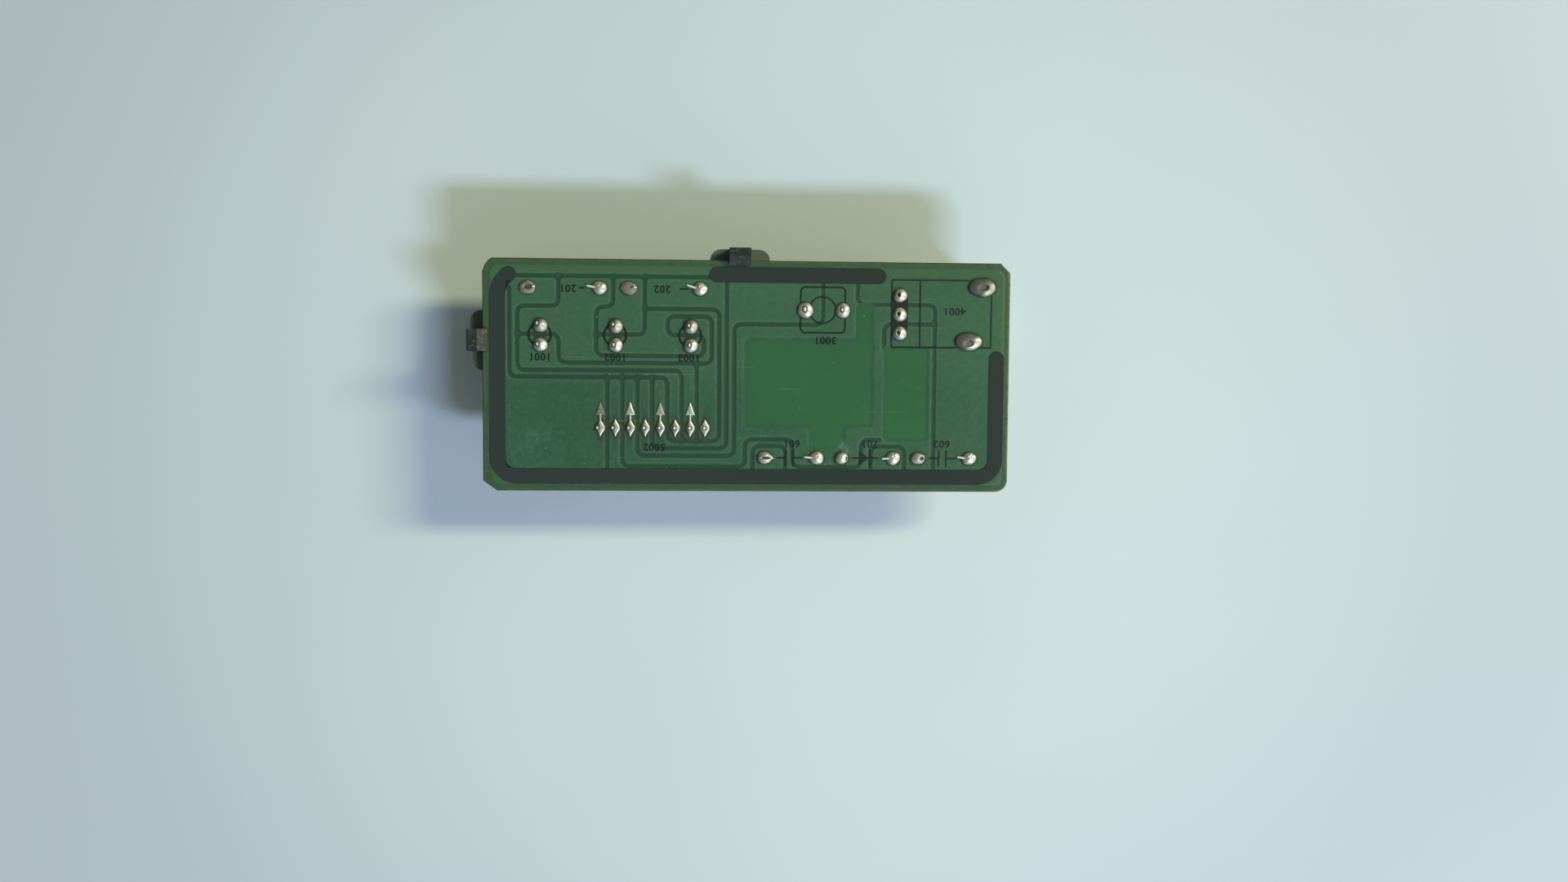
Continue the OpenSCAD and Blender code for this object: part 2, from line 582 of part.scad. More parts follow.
module switch_base() color("#232526") difference() {
    union() {
        at(sw_u, sw_v, z_case) linear_extrude(z_under - z_case) polygon(even_box(sw_size, sw_size, 0.3));
        at(sw_u, sw_v, z_case - cover_t - rivet_h) rivet_places() cylinder(h = cover_t + rivet_h + 0.1, d = rivet_d);
    }
    at(sw_u, sw_v, z_case - eps) cylinder(h = z_floor - z_case + eps, d = sw_cavity_d);
    terminal_pair(snug_fit, eps);
}
module switch_cover() color("#c2c5c3") at(sw_u, sw_v, z_case - cover_t) difference() {
    linear_extrude(cover_t) polygon(even_box(sw_size, sw_size, 0.3));
    translate([0, 0, -eps]) cylinder(h = cover_t + 2 * eps, d = plunger_d + 2 * slide_fit);
    translate([0, 0, -eps]) rivet_places() cylinder(h = cover_t + 2 * eps, d = rivet_d + 2 * snug_fit);
}
module switch_plunger() color("#3a3c3d") at(sw_u, sw_v) union() {
    translate([0, 0, z_flange]) cylinder(h = flange_t, d = sw_cavity_d - 3 * slide_fit);
    translate([0, 0, z_case - cover_t - plunger_len]) cylinder(h = plunger_len + cover_t + 0.3, d = plunger_d);
}
dome_r = sw_cavity_d / 2 - 0.25;
dome_steps = 6;
module switch_dome() color("#cfd2cf") at(sw_u, sw_v, z_dome) rotate_extrude() polygon(concat(
    [for (i = [0 : dome_steps]) [dome_r * i / dome_steps, dome_rise * pow(i / dome_steps, 2)]],
    [for (i = [dome_steps : -1 : 0]) [dome_r * i / dome_steps, dome_rise * pow(i / dome_steps, 2) + dome_t]]));
module switch_terminals() color("#b9bcb8") terminal_pair(0, board_t + foil_t);

// ---------- header ----------
head_end = 1.95;
head_l = (pin_n - 1) * pin_pitch + 2 * head_end;
head_off = 0.55;
key_in = 3.2;
key_w = 1;
pin_rise = head_h - 0.8;
module pin_row(grow, down, up) for (u = pin_us) at(u, row_v, z_under - down)
    translate([-pin_s / 2 - grow, -pin_s / 2 - grow, 0]) cube([pin_s + 2 * grow, pin_s + 2 * grow, down + up]);
head_mid = pin_u + (pin_n - 1) * pin_pitch / 2;
module header_housing() color("#e9e6dc") difference() {
    at(head_mid, row_v + head_off, z_under - head_h) linear_extrude(head_h) polygon(even_box(head_l, head_w, 0.3));
    at(head_mid, row_v + head_off, z_under - head_h - eps) linear_extrude(head_h - head_floor + eps)
        polygon(even_box(head_l - 2 * head_wall, head_w - 2 * head_wall, 0.2));
    for (s = [-1, 1]) at(head_mid + s * (head_l / 2 - key_in), row_v + head_off - head_w / 2, z_under - head_h - eps)
        translate([-key_w / 2, -head_wall - 0.1, 0]) cube([key_w, head_wall + 0.2, head_h - head_floor + eps]);
    pin_row(snug_fit, head_h, eps);
}
module header_pins() color("#c4c1a9") pin_row(0, pin_rise, board_t + foil_t);

// ---------- axial parts ----------
bend_r = 0.7;
module axial_lead(run, z_axis) {
    translate([0, 0, z_axis]) rotate([0, 90, 0]) cylinder(h = run - bend_r, d = wire_d);
    translate([run - bend_r, 0, z_axis + bend_r]) rotate([90, 0, 0]) rotate([0, 0, -90])
        rotate_extrude(angle = 90) translate([bend_r, 0]) circle(d = wire_d);
    translate([run, 0, z_axis + bend_r]) cylinder(h = z_foil - z_axis - bend_r, d = wire_d);
}
module axial_leads(u, v, gap, body_l, body_d) at(u + gap / 2, v) for (s = [0, 180]) rotate([0, 0, s])
    translate([body_l / 2, 0, 0]) axial_lead(gap / 2 - body_l / 2, z_under - seat_gap - body_d / 2);
module axial_body(u, v, gap, body_d, half) at(u + gap / 2, v, z_under - seat_gap - body_d / 2) rotate([0, 90, 0])
    rotate_extrude() polygon(concat([[0, -half[len(half) - 1][1]]],
        [for (p = reversed(half)) [p[0], -p[1]]], half, [[0, half[len(half) - 1][1]]]));
function res_half() = [[res_d * 0.41, 0.1], [res_d * 0.41, res_l * 0.25], [res_d * 0.46, res_l * 0.31],
    [res_d / 2, res_l * 0.37], [res_d / 2, res_l * 0.43], [res_d * 0.44, res_l * 0.48], [res_d * 0.3, res_l / 2]];
function bead_half(d, l) = [[d / 2, 0.1], [d * 0.49, l * 0.22], [d * 0.45, l * 0.34], [d * 0.36, l * 0.43],
    [d * 0.22, l / 2]];
function tube_half(d, l) = [[d / 2, 0.1], [d / 2, l / 2 - 0.3], [d * 0.45, l / 2 - 0.1], [d * 0.35, l / 2]];
module left_resistor() color("#c8b48a") axial_body(res_us[0], res_v, res_gap, res_d, res_half());
module right_resistor() color("#c8b48a") axial_body(res_us[1], res_v, res_gap, res_d, res_half());
module left_capacitor() color("#c08a3e") axial_body(cap_us[0], small_v, small_gap, cap_d, bead_half(cap_d, cap_l));
module right_capacitor() color("#c08a3e") axial_body(cap_us[1], small_v, small_gap, cap_d, bead_half(cap_d, cap_l));
module diode() color("#b5552c") axial_body(dio_u, small_v, small_gap, dio_d, tube_half(dio_d, dio_l));
module wires(u, v, gap, l, d) color("#b9bcb8") axial_leads(u, v, gap, l, d);
module left_resistor_leads() wires(res_us[0], res_v, res_gap, res_l, res_d);
module right_resistor_leads() wires(res_us[1], res_v, res_gap, res_l, res_d);
module left_capacitor_leads() wires(cap_us[0], small_v, small_gap, cap_l, cap_d);
module right_capacitor_leads() wires(cap_us[1], small_v, small_gap, cap_l, cap_d);
module diode_leads() wires(dio_u, small_v, small_gap, dio_l, dio_d);

// ---------- solder ----------
tail_w = 0.62;
tail_h = 0.42;
tip_r = 0.3;
sw_joint_r = joint_r + 0.12;
tab_joint_l = 3.7;
tab_joint_w = 2.5;
// Each axial joint: place, length, width, angle, shift of its middle, length of its clinched tail
axial_joints = [
    [[res_us[0], res_v], 2.1, 1.7, 0, 0, 0],
    [[res_us[0] + res_gap, res_v], 2.2, 2, -8, 0, 2],
    [[res_us[1], res_v], 2.3, 1.9, 0, 0, 0],
    [[res_us[1] + res_gap, res_v], 2, 1.9, -16, 0, 1.9],
    [[cap_us[0], small_v], 2, 1.6, 0, 0, 0],
    [[cap_us[0] + small_gap, small_v], 1.9, 1.8, -4, 0, 1.9],
    [[dio_u, small_v], 2, 1.7, 0, 0, 0],
    [[dio_u + small_gap, small_v], 1.9, 1.7, 2, 0, 1.9],
    [[cap_us[1], small_v], 2, 1.6, 0, 0, 0],
    [[cap_us[1] + small_gap, small_v], 1.9, 1.8, -10, 0, 1.7]];
function dome(r, h) = [for (a = [0 : 15 : 60]) [r * cos(a), h * sin(a)]];
module round_joint(r, h) rotate_extrude() polygon(concat([[0, 0]], dome(r, h),
    [[tip_r, h * 0.96], [tip_r, h + tip_h * 0.6], [tip_r * 0.6, h + tip_h], [0, h + tip_h]]));
module long_joint(l, w, h) {
    rise = concat(dome(w / 2, h), [[w * 0.13, h]]);
    for (s = [-1, 1]) translate([s * (l - w) / 2, 0, 0]) rotate_extrude() polygon(concat([[0, 0]], rise, [[0, h]]));
    translate([-(l - w) / 2, 0, 0]) rotate([90, 0, 90]) linear_extrude(l - w)
        polygon(concat(rise, [for (p = reversed(rise)) [-p[0], p[1]]]));
}
module led_solder() color("#9aa08f") for (u = led_us) for (v = led_vs) on_foil(u, v) round_joint(joint_r, joint_h);
module switch_solder() color("#9aa08f") for (u = sw_us) on_foil(u, sw_v) round_joint(sw_joint_r, joint_h);
module receiver_solder() color("#9aa08f") for (v = rec_vs) on_foil(rec_u, v) round_joint(joint_r, joint_h);
module can_tab_solder() color("#8d9384") for (p = tab_places) on_foil(p[0], p[1]) {
    long_joint(tab_joint_l, tab_joint_w, joint_h);
    translate([-tab_sheet_l / 2, -can_t, joint_h - 0.1]) cube([tab_sheet_l, 2 * can_t, tip_h + 0.1]);
}
module axial_solder() color("#9aa08f") for (a = axial_joints) on_foil(a[0][0], a[0][1]) rotate([0, 0, a[3]]) {
    translate([a[4], 0, 0]) long_joint(a[1], a[2], joint_h);
    if (a[5] > 0) translate([-a[5] / 2, 0, 0]) long_joint(a[5] + tail_w, tail_w, tail_h);
}
pad_half_w = 0.575;
pad_half_l = 1.25;
pad_t = 0.14;
arrow_tip = 3.4;
arrow_base = 1.7;
module header_solder() color("#9aa08f") for (i = [0 : pin_n - 1]) on_foil(pin_us[i], row_v) {
    linear_extrude(pad_t) {
        polygon([[0, -pad_half_l], [pad_half_w, -0.35], [pad_half_w, 0.35], [0, pad_half_l],
            [-pad_half_w, 0.35], [-pad_half_w, -0.35]]);
        if (i % 2 == 0) {
            translate([-0.175, 0]) square([0.35, arrow_base + 0.2]);
            polygon([[-0.6, arrow_base], [0.6, arrow_base], [0.1, arrow_tip], [-0.1, arrow_tip]]);
        }
    }
    rotate_extrude() polygon([[0, 0], [pad_half_w - 0.05, 0], [pad_half_w - 0.1, pad_t + 0.1], [0.36, 0.45],
        [0.3, 0.62], [0.3, 0.62 + tip_h], [0.2, 0.7 + tip_h], [0, 0.7 + tip_h]]);
}

board();
copper_foil();
printed_marks();
light_holder();
left_led();
middle_led();
right_led();
left_led_leads();
middle_led_leads();
right_led_leads();
receiver_can();
receiver_body();
receiver_leads();
switch_base();
switch_cover();
switch_plunger();
switch_dome();
switch_terminals();
header_housing();
header_pins();
left_resistor();
left_resistor_leads();
right_resistor();
right_resistor_leads();
left_capacitor();
left_capacitor_leads();
right_capacitor();
right_capacitor_leads();
diode();
diode_leads();
led_solder();
header_solder();
switch_solder();
receiver_solder();
can_tab_solder();
axial_solder();
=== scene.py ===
"""Looks of the display board: solder side up, parts and light holder underneath."""
import math
import bmesh
import bpy
import numpy as np
from mathutils import Matrix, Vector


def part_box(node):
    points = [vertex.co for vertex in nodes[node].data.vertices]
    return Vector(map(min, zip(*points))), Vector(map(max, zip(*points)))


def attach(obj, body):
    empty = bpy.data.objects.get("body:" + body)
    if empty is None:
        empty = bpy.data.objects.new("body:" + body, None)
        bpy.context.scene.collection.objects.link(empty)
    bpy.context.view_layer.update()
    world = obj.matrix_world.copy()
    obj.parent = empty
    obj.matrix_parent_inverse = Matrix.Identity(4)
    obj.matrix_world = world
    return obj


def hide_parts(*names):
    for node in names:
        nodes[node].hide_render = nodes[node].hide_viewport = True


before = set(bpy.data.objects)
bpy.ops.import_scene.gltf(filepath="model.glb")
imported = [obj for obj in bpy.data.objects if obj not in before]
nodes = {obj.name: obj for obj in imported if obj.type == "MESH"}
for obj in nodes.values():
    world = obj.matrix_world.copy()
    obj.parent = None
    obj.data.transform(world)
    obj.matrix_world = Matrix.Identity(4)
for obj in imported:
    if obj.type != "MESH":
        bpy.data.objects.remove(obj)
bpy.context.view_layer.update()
MM = 0.001
MM_PER_M = 1000
BODY = "body"

# ---------------------------------------------------------------- places on the board
# u runs right from the board's left edge and v runs down from its top edge, both in mm.
board_low, board_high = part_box("board")
RIGHT = (board_high.x - board_low.x) / MM
LOW = (board_high.y - board_low.y) / MM
Z_TOP = board_high.z / MM
Z_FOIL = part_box("copper_foil")[1].z / MM
# Joints start just above the copper and the mask's skin just above the laminate, where it is
# MASK_T thick. The ink on it is INK_T thick.
JOINT_FOOT, SKIN_FOOT = Z_FOIL + 0.004, Z_TOP + 0.002
MASK_T, INK_T = 0.022, 0.02


def to_x(u):
    """The frame's x of a place, in mm."""
    return board_low.x / MM + np.asarray(u, float)


def to_y(v):
    """The frame's y of a place, in mm."""
    return board_high.y / MM - np.asarray(v, float)


def extent(node):
    """Least and greatest u and v of a CAD node, in mm."""
    low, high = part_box(node)
    return ((low.x - board_low.x) / MM, (high.x - board_low.x) / MM,
            (board_high.y - high.y) / MM, (board_high.y - low.y) / MM)


def lead_pair(node, thick):
    """The u of the first lead, the distance to the last one and the v of their row."""
    u0, u1, v0, v1 = extent(node)
    return u0 + thick / 2, u1 - u0 - thick, (v0 + v1) / 2


# How thick each kind of lead is, and half the distance between the lights' and receiver's leads
WIRE, LEAD, TERMINAL, PIN = 0.5, 0.46, 0.6, 0.5
HALF_PITCH = 1.27
PIN_COUNT = 8
PIN_U, PIN_ROW, PIN_V = lead_pair("header_pins", PIN)
PIN_US = PIN_U + PIN_ROW / (PIN_COUNT - 1) * np.arange(PIN_COUNT)
AXIAL = [lead_pair(n + "_leads", WIRE) for n in
         ("left_resistor", "right_resistor", "left_capacitor", "diode", "right_capacitor")]
CAP_U, DIODE_U, LAST_CAP_U = (AXIAL[i][0] for i in (2, 3, 4))
LED_US = [lead_pair(n + "_led_leads", LEAD)[0] for n in ("left", "middle", "right")]
LED_V = lead_pair("left_led_leads", LEAD)[2]
SW_FIRST, SW_GAP, SW_V = lead_pair("switch_terminals", TERMINAL)
SW_U = SW_FIRST + SW_GAP / 2
REC_BOX = extent("receiver_solder")
REC_U = sum(REC_BOX[:2]) / 2
REC_VS = [sum(REC_BOX[2:]) / 2 + 2 * HALF_PITCH * i for i in (-1, 0, 1)]
TAB_L, TAB_W = 3.7, 2.5
TAB_BOX = extent("can_tab_solder")
TABS = ((TAB_BOX[1] - TAB_L / 2, TAB_BOX[2] + TAB_W / 2),
        (TAB_BOX[0] + TAB_L / 2, TAB_BOX[3] - TAB_W / 2))


# ---------------------------------------------------------------- helpers
def lin(text):
    """sRGB hex to linear RGBA."""
    c = [int(text[i:i + 2], 16) / 255 for i in (1, 3, 5)]
    return tuple(v / 12.92 if v <= 0.04045 else ((v + 0.055) / 1.055) ** 2.4 for v in c) + (1.0,)


def feed(node, **values):
    """Gives a node's sockets, by name with _ for a space, their links or values."""
    for key, value in values.items():
        socket = node.inputs[key.replace("_", " ")]
        if isinstance(value, bpy.types.NodeSocket):
            node.id_data.links.new(value, socket)
        else:
            socket.default_value = value


def add(tree, kind, *inputs, out=0, **named):
    """Adds one shader node and gives one of its live outputs. Inputs come in the order of its
    live sockets, or by name; a name in small letters is one of the node's own settings."""
    node = tree.nodes.new("ShaderNode" + kind)
    for key in [k for k in named if k[0].islower()]:
        setattr(node, key, named.pop(key))
    for socket, value in zip([s for s in node.inputs if s.enabled], inputs):
        if isinstance(value, bpy.types.NodeSocket):
            tree.links.new(value, socket)
        else:
            socket.default_value = value
    feed(node, **named)
    if isinstance(out, str):
        return node.outputs[out]
    return [s for s in node.outputs if s.enabled][out]


EASE = {"interpolation_type": "SMOOTHSTEP"}
RGBA = {"data_type": "RGBA"}
TIMES, PLUS, LESS = {"operation": "MULTIPLY"}, {"operation": "ADD"}, {"operation": "SUBTRACT"}
SIZE, MOST = {"operation": "ABSOLUTE"}, {"operation": "MAXIMUM"}
TIMES_PLUS = {"operation": "MULTIPLY_ADD"}


def material(name, **values):
    """A new material: its tree and its Principled shader, with that shader's constant values."""
    m = bpy.data.materials.new(name)
    m.use_nodes = True
    shader = m.node_tree.nodes["Principled BSDF"]
    feed(shader, **values)
    return m, m.node_tree, shader


def cloud(t, per_mm, detail=2.0, rough=0.5, stretch=(1, 1, 1), warp=0.0):
    """A cloudy pattern fixed to the object, with its scale in cycles per millimetre."""
    grid = add(t, "Mapping", Vector=add(t, "TexCoord", out="Object"),
               Scale=[MM_PER_M * s for s in stretch])
    return add(t, "TexNoise", Vector=grid, Scale=per_mm, Detail=detail, Roughness=rough,
               Distortion=warp)


def over(t, base, *layers):
    """Lays colours over a base. Each layer is a pattern, its values where the colour starts and
    is fullest, the share of colour there, and the colour."""
    for pattern, start, full, most, colour in layers:
        share = add(t, "MapRange", pattern, start, full, 0.0, most, **EASE)
        colour = lin(colour) if isinstance(colour, str) else colour
        base = add(t, "Mix", share, base, colour, **RGBA)
    return base


def new_object(name, data):
    """An object with that data, put in the scene."""
    ob = bpy.data.objects.new(name, data)
    bpy.context.scene.collection.objects.link(ob)
    return ob


def put_mesh(name, co_mm, faces, smooth=True, fields=None):
    """A mesh object at the origin from points in mm, with float attributes on its points."""
    me = bpy.data.meshes.new(name)
    me.from_pydata((np.asarray(co_mm, float) * MM).tolist(), [], [list(map(int, f)) for f in faces])
    me.polygons.foreach_set("use_smooth", [smooth] * len(me.polygons))
    for key, values in (fields or {}).items():
        field = me.attributes.new(key, "FLOAT", "POINT")
        field.data.foreach_set("value", np.asarray(values, np.float32))
    me.update()
    return new_object(name, me)


def dress(ob, mat, slot, *stands_for):
    """Gives a new piece its material and body, and hides the nodes that it replaces. Its slot
    argument is not used.
    """
    ob.data.materials.clear()
    ob.data.materials.append(mat)
    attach(ob, BODY)
    if stands_for:
        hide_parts(*stands_for)


def paint(mat, *names):
    """Puts a material into the slots of CAD nodes."""
    for name in names:
        for s in nodes[name].material_slots:
            s.material = mat


def grid_faces(at):
    """The four-sided faces between the points of a grid, given the points' numbers."""
    return np.stack([at[1:, :-1], at[1:, 1:], at[:-1, 1:], at[:-1, :-1]], -1).reshape(-1, 4)


def unit(v):
    """A vector's direction, one long."""
    return np.asarray(v, float) / np.linalg.norm(v)


# ---------------------------------------------------------------- distances
# Distances are worked out up to REACH or FAR; the colours have long stopped changing there.
REACH, FAR, TINY = 9.0, 99.0, 1e-9


def round_turns(points, r=0.9, steps=4):
    """A line of square turns with each turn replaced by an arc of radius r."""
    p = np.asarray(points, float)
    out = [p[0]]
    for i in range(1, len(p) - 1):
        a, b = unit(p[i] - p[i - 1]), unit(p[i + 1] - p[i])
        c = p[i] + r * (b - a)
        for k in range(steps + 1):
            w = math.pi / 2 * k / steps
            out.append(c + r * (a * math.sin(w) - b * math.cos(w)))
    out.append(p[-1])
    return np.array(out)


def line_distance(u, v, points):
    """Distance to a chain of straight stretches: the least distance to each one."""
    best = np.full(u.shape, REACH)
    for p, q in zip(points[:-1], points[1:]):
        d = q - p
        t = np.clip(((u - p[0]) * d[0] + (v - p[1]) * d[1]) / max(d @ d, TINY), 0, 1)
        best = np.minimum(best, np.hypot(u - p[0] - t * d[0], v - p[1] - t * d[1]))
    return best


def box_distance(u, v, u0, v0, u1, v1, r):
    """Signed distance to a rectangle with round corners, negative inside."""
    du = np.abs(u - (u0 + u1) / 2) - (u1 - u0) / 2 + r
    dv = np.abs(v - (v0 + v1) / 2) - (v1 - v0) / 2 + r
    outside = np.hypot(np.maximum(du, 0), np.maximum(dv, 0))
    return outside + np.minimum(np.maximum(du, dv), 0) - r


def soft_min(a, b, k):
    """The lesser of two distances, with the corner between them rounded by k."""
    h = np.clip(0.5 + 0.5 * (b - a) / k, 0, 1)
    return b * (1 - h) + a * h - k * h * (1 - h)


def step(x, a, b):
    """Smooth step from 0 at a to 1 at b."""
    t = np.clip((x - a) / (b - a), 0, 1)
    return t * t * (3 - 2 * t)


def waves(t, count, longest, shortest, seed):
    """Irregular wavy value of one parameter: a sum of sines of many lengths, about 1 high."""
    g = np.random.default_rng(seed)
    lengths = np.geomspace(longest, shortest, count)
    phase = g.uniform(0, 2 * math.pi, count)
    size = (lengths / longest) ** 0.5
    total = sum(s * np.sin(2 * math.pi * t / l + f) for s, l, f in zip(size, lengths, phase))
    return total / size.sum() * 2


# ---------------------------------------------------------------- artwork of the copper side
# Columns and rows that several etched lines share, and the lanes between the header's pins
MID, STRIP = RIGHT - 10.25, RIGHT - 20.75
TOP, BAR, RUNG, LANE_TOP = 2.3, 3.03, 10.03, 15.73
FOOT, JOG, JOIN, ISLE, END = LOW - 6.8, LOW - 7.05, LOW - 3.35, LOW - 6.15, LOW - 3
LANES = PIN_US + 0.92
ETCH_W = 0.48
# Each etched line: the u and v of its ends and square turns
ETCH = [
    [(4.2, TOP), (30.1, TOP)],
    [(3.5, 3.87), (3.5, LANE_TOP), (LANES[4], LANE_TOP), (LANES[4], FOOT), (31.4, FOOT),
     (31.4, 6.55), (21.45, 6.55)],
    [(10, TOP), (10, 6.3), (4.55, 6.3), (4.55, 14.79), (LANES[4] + 1.95, 14.79),
     (LANES[4] + 1.95, FOOT)],
    [(4.55, RUNG), (10, RUNG), (10, 13.8), (30.4, 13.8), (30.4, 7.54), (24.5, 7.54),
     (24.5, RUNG), (29.35, RUNG), (29.35, 12.85), (15, 12.85), (15, 6.35), (17.25, 6.35),
     (17.25, TOP)],
    [(15, RUNG), (21.45, RUNG), (21.45, TOP)],
    [(28.4, 13.8), (28.4, FOOT)],
    [(LANES[3], LANE_TOP), (LANES[3], LOW - 5.8), (32.4, LOW - 5.8), (32.4, BAR)],
    [(LANES[2], LANE_TOP), (LANES[2], LOW - 4.8), (33.45, LOW - 4.8), (33.45, 8.49),
     (45.35, 8.49), (45.35, BAR)],
    [(LANES[1], LANE_TOP), (LANES[1], JOIN), (CAP_U - 2.7, JOIN), (CAP_U - 2.7, JOG),
     (CAP_U + 3.75, JOG), (CAP_U + 3.75, JOIN), (DIODE_U + 2.65, JOIN), (DIODE_U + 2.65, JOG),
     (DIODE_U + 5.15, JOG)],
    [(LANES[0], LANE_TOP), (LANES[0], END)],
    [(CAP_U - 1.65, END), (CAP_U - 1.65, ISLE), (CAP_U + 2.75, ISLE), (CAP_U + 2.75, END)],
    [(DIODE_U + 4, END), (DIODE_U + 4, ISLE), (DIODE_U + 8.55, ISLE), (DIODE_U + 8.55, END)],
    [(STRIP, BAR), (STRIP, 5.71), (MID, 5.71), (MID, END)],
    [(MID, 8.29), (MID - 6.85, 8.29), (MID - 6.85, 12.1)]]
# Each wide field without copper: least u and v, greatest u and v, and corner radius
FIELD_U1 = RIGHT - 18.6
FIELDS = [(34.8, 10.27, FIELD_U1, LOW - 8.7, 0.7),
          (FIELD_U1 - 8.65, 12.27, FIELD_U1 - 3.7, LOW - 5.7, 0.6),
          (STRIP - 0.2, 5.66, FIELD_U1, 12.27, 0.4),
          (MID - 6.9, 11.3, MID - 0.8, LOW - 6.9, 0.6)]
# How round the meetings of etched lines and of bare fields are
LINE_FILLET, FIELD_FILLET = 0.45, 0.5
# Where the copper ends near the board's edges, in the same order as a bare field
RIM = (0.95, 0.9, RIGHT - 0.85, LOW - 0.95, 1.1)
# Board corners: where, the two legs, and how full, from 1, a straight cut, to 2, a round
CORNERS = ((0, 0, 1.3, 1.85, 1.45), (RIGHT, 0, 1.3, 1.3, 1), (0, LOW, 1.85, 1.35, 1),
           (RIGHT, LOW, 1.6, 1.6, 2))
# Round and oval joints: middle and two half sizes
JOINTS = ([(u, LED_V + s * HALF_PITCH, 0.96, 0.95) for u in LED_US for s in (-1, 1)]
          + [(SW_FIRST, SW_V, 1.07, 1.07), (SW_FIRST + SW_GAP, SW_V, 1.0, 1.0)]
          + [(REC_U, v, 0.96, 0.95) for v in REC_VS] + [(u, v, 1.85, 1.25) for u, v in TABS]
          + [(u + k * gap, v, 1.03, 0.88) for u, gap, v in AXIAL for k in (0, 1)])
# The header's diamond pads: half width, half length, and how distance grows away from one
PAD_A, PAD_B, PAD_SLOPE = 0.66, 1.3, 0.59
# Patches of pale dried flux: middle, radius and how much lies in the middle
BLOOMS = ((7.0, 26.0, 6.2, 0.38), (48.3, 25.4, 1.9, 0.8), (26, 16.5, 9, 0.16), (60, 13, 7, 0.12))


def etched(u, v):
    """Signed distance to the etched lines, negative in a line; where lines meet, the corners
    are rounded."""
    best = np.full(u.shape, REACH)
    for path in ETCH:
        off = line_distance(u, v, round_turns(path)) - ETCH_W / 2
        best = soft_min(best, off, LINE_FILLET)
    return best


def bare(u, v):
    """Signed distance to the wide fields without copper."""
    best = np.full(u.shape, FAR)
    for field in FIELDS:
        best = soft_min(best, box_distance(u, v, *field), FIELD_FILLET)
    return best


def near_joints(u, v):
    """Distance to the nearest joint, and the share of flux left there: falling off over half a
    millimetre round the header's pads, over less round the others, and full in an ellipse
    between each light's two joints."""
    most, fade = 0.5, 0.3
    full, pad_fade = 0.1, 0.45
    half_u, half_v = 1.15, 0.6
    best = np.full(u.shape, REACH)
    for cu, cv, a, b in JOINTS:
        best = np.minimum(best, (np.hypot((u - cu) / a, (v - cv) / b) - 1) * min(a, b))
    pads = np.full(u.shape, REACH)
    for cu in PIN_US:
        off = (np.abs(u - cu) / PAD_A + np.abs(v - PIN_V) / PAD_B - 1) * PAD_SLOPE
        pads = np.minimum(pads, off)
    flux = np.maximum(most * np.exp(-np.clip(best, 0, REACH) / fade),
                      np.exp(-np.clip(pads - full, 0, REACH) / pad_fade))
    for cu in LED_US:
        between = 1 - step(np.hypot((u - cu) / half_u, (v - LED_V) / half_v), 0.55, 1.1)
        flux, best = np.maximum(flux, between), best * (1 - between)
    return np.minimum(best, pads), flux


def flux_bloom(u, v):
    """How much pale dried flux lies there: round patches, each fading from its middle."""
    best = np.zeros(u.shape)
    for cu, cv, r, most in BLOOMS:
        best = np.maximum(best, most * (1 - step(np.hypot(u - cu, v - cv), 0.15 * r, r)))
    return best


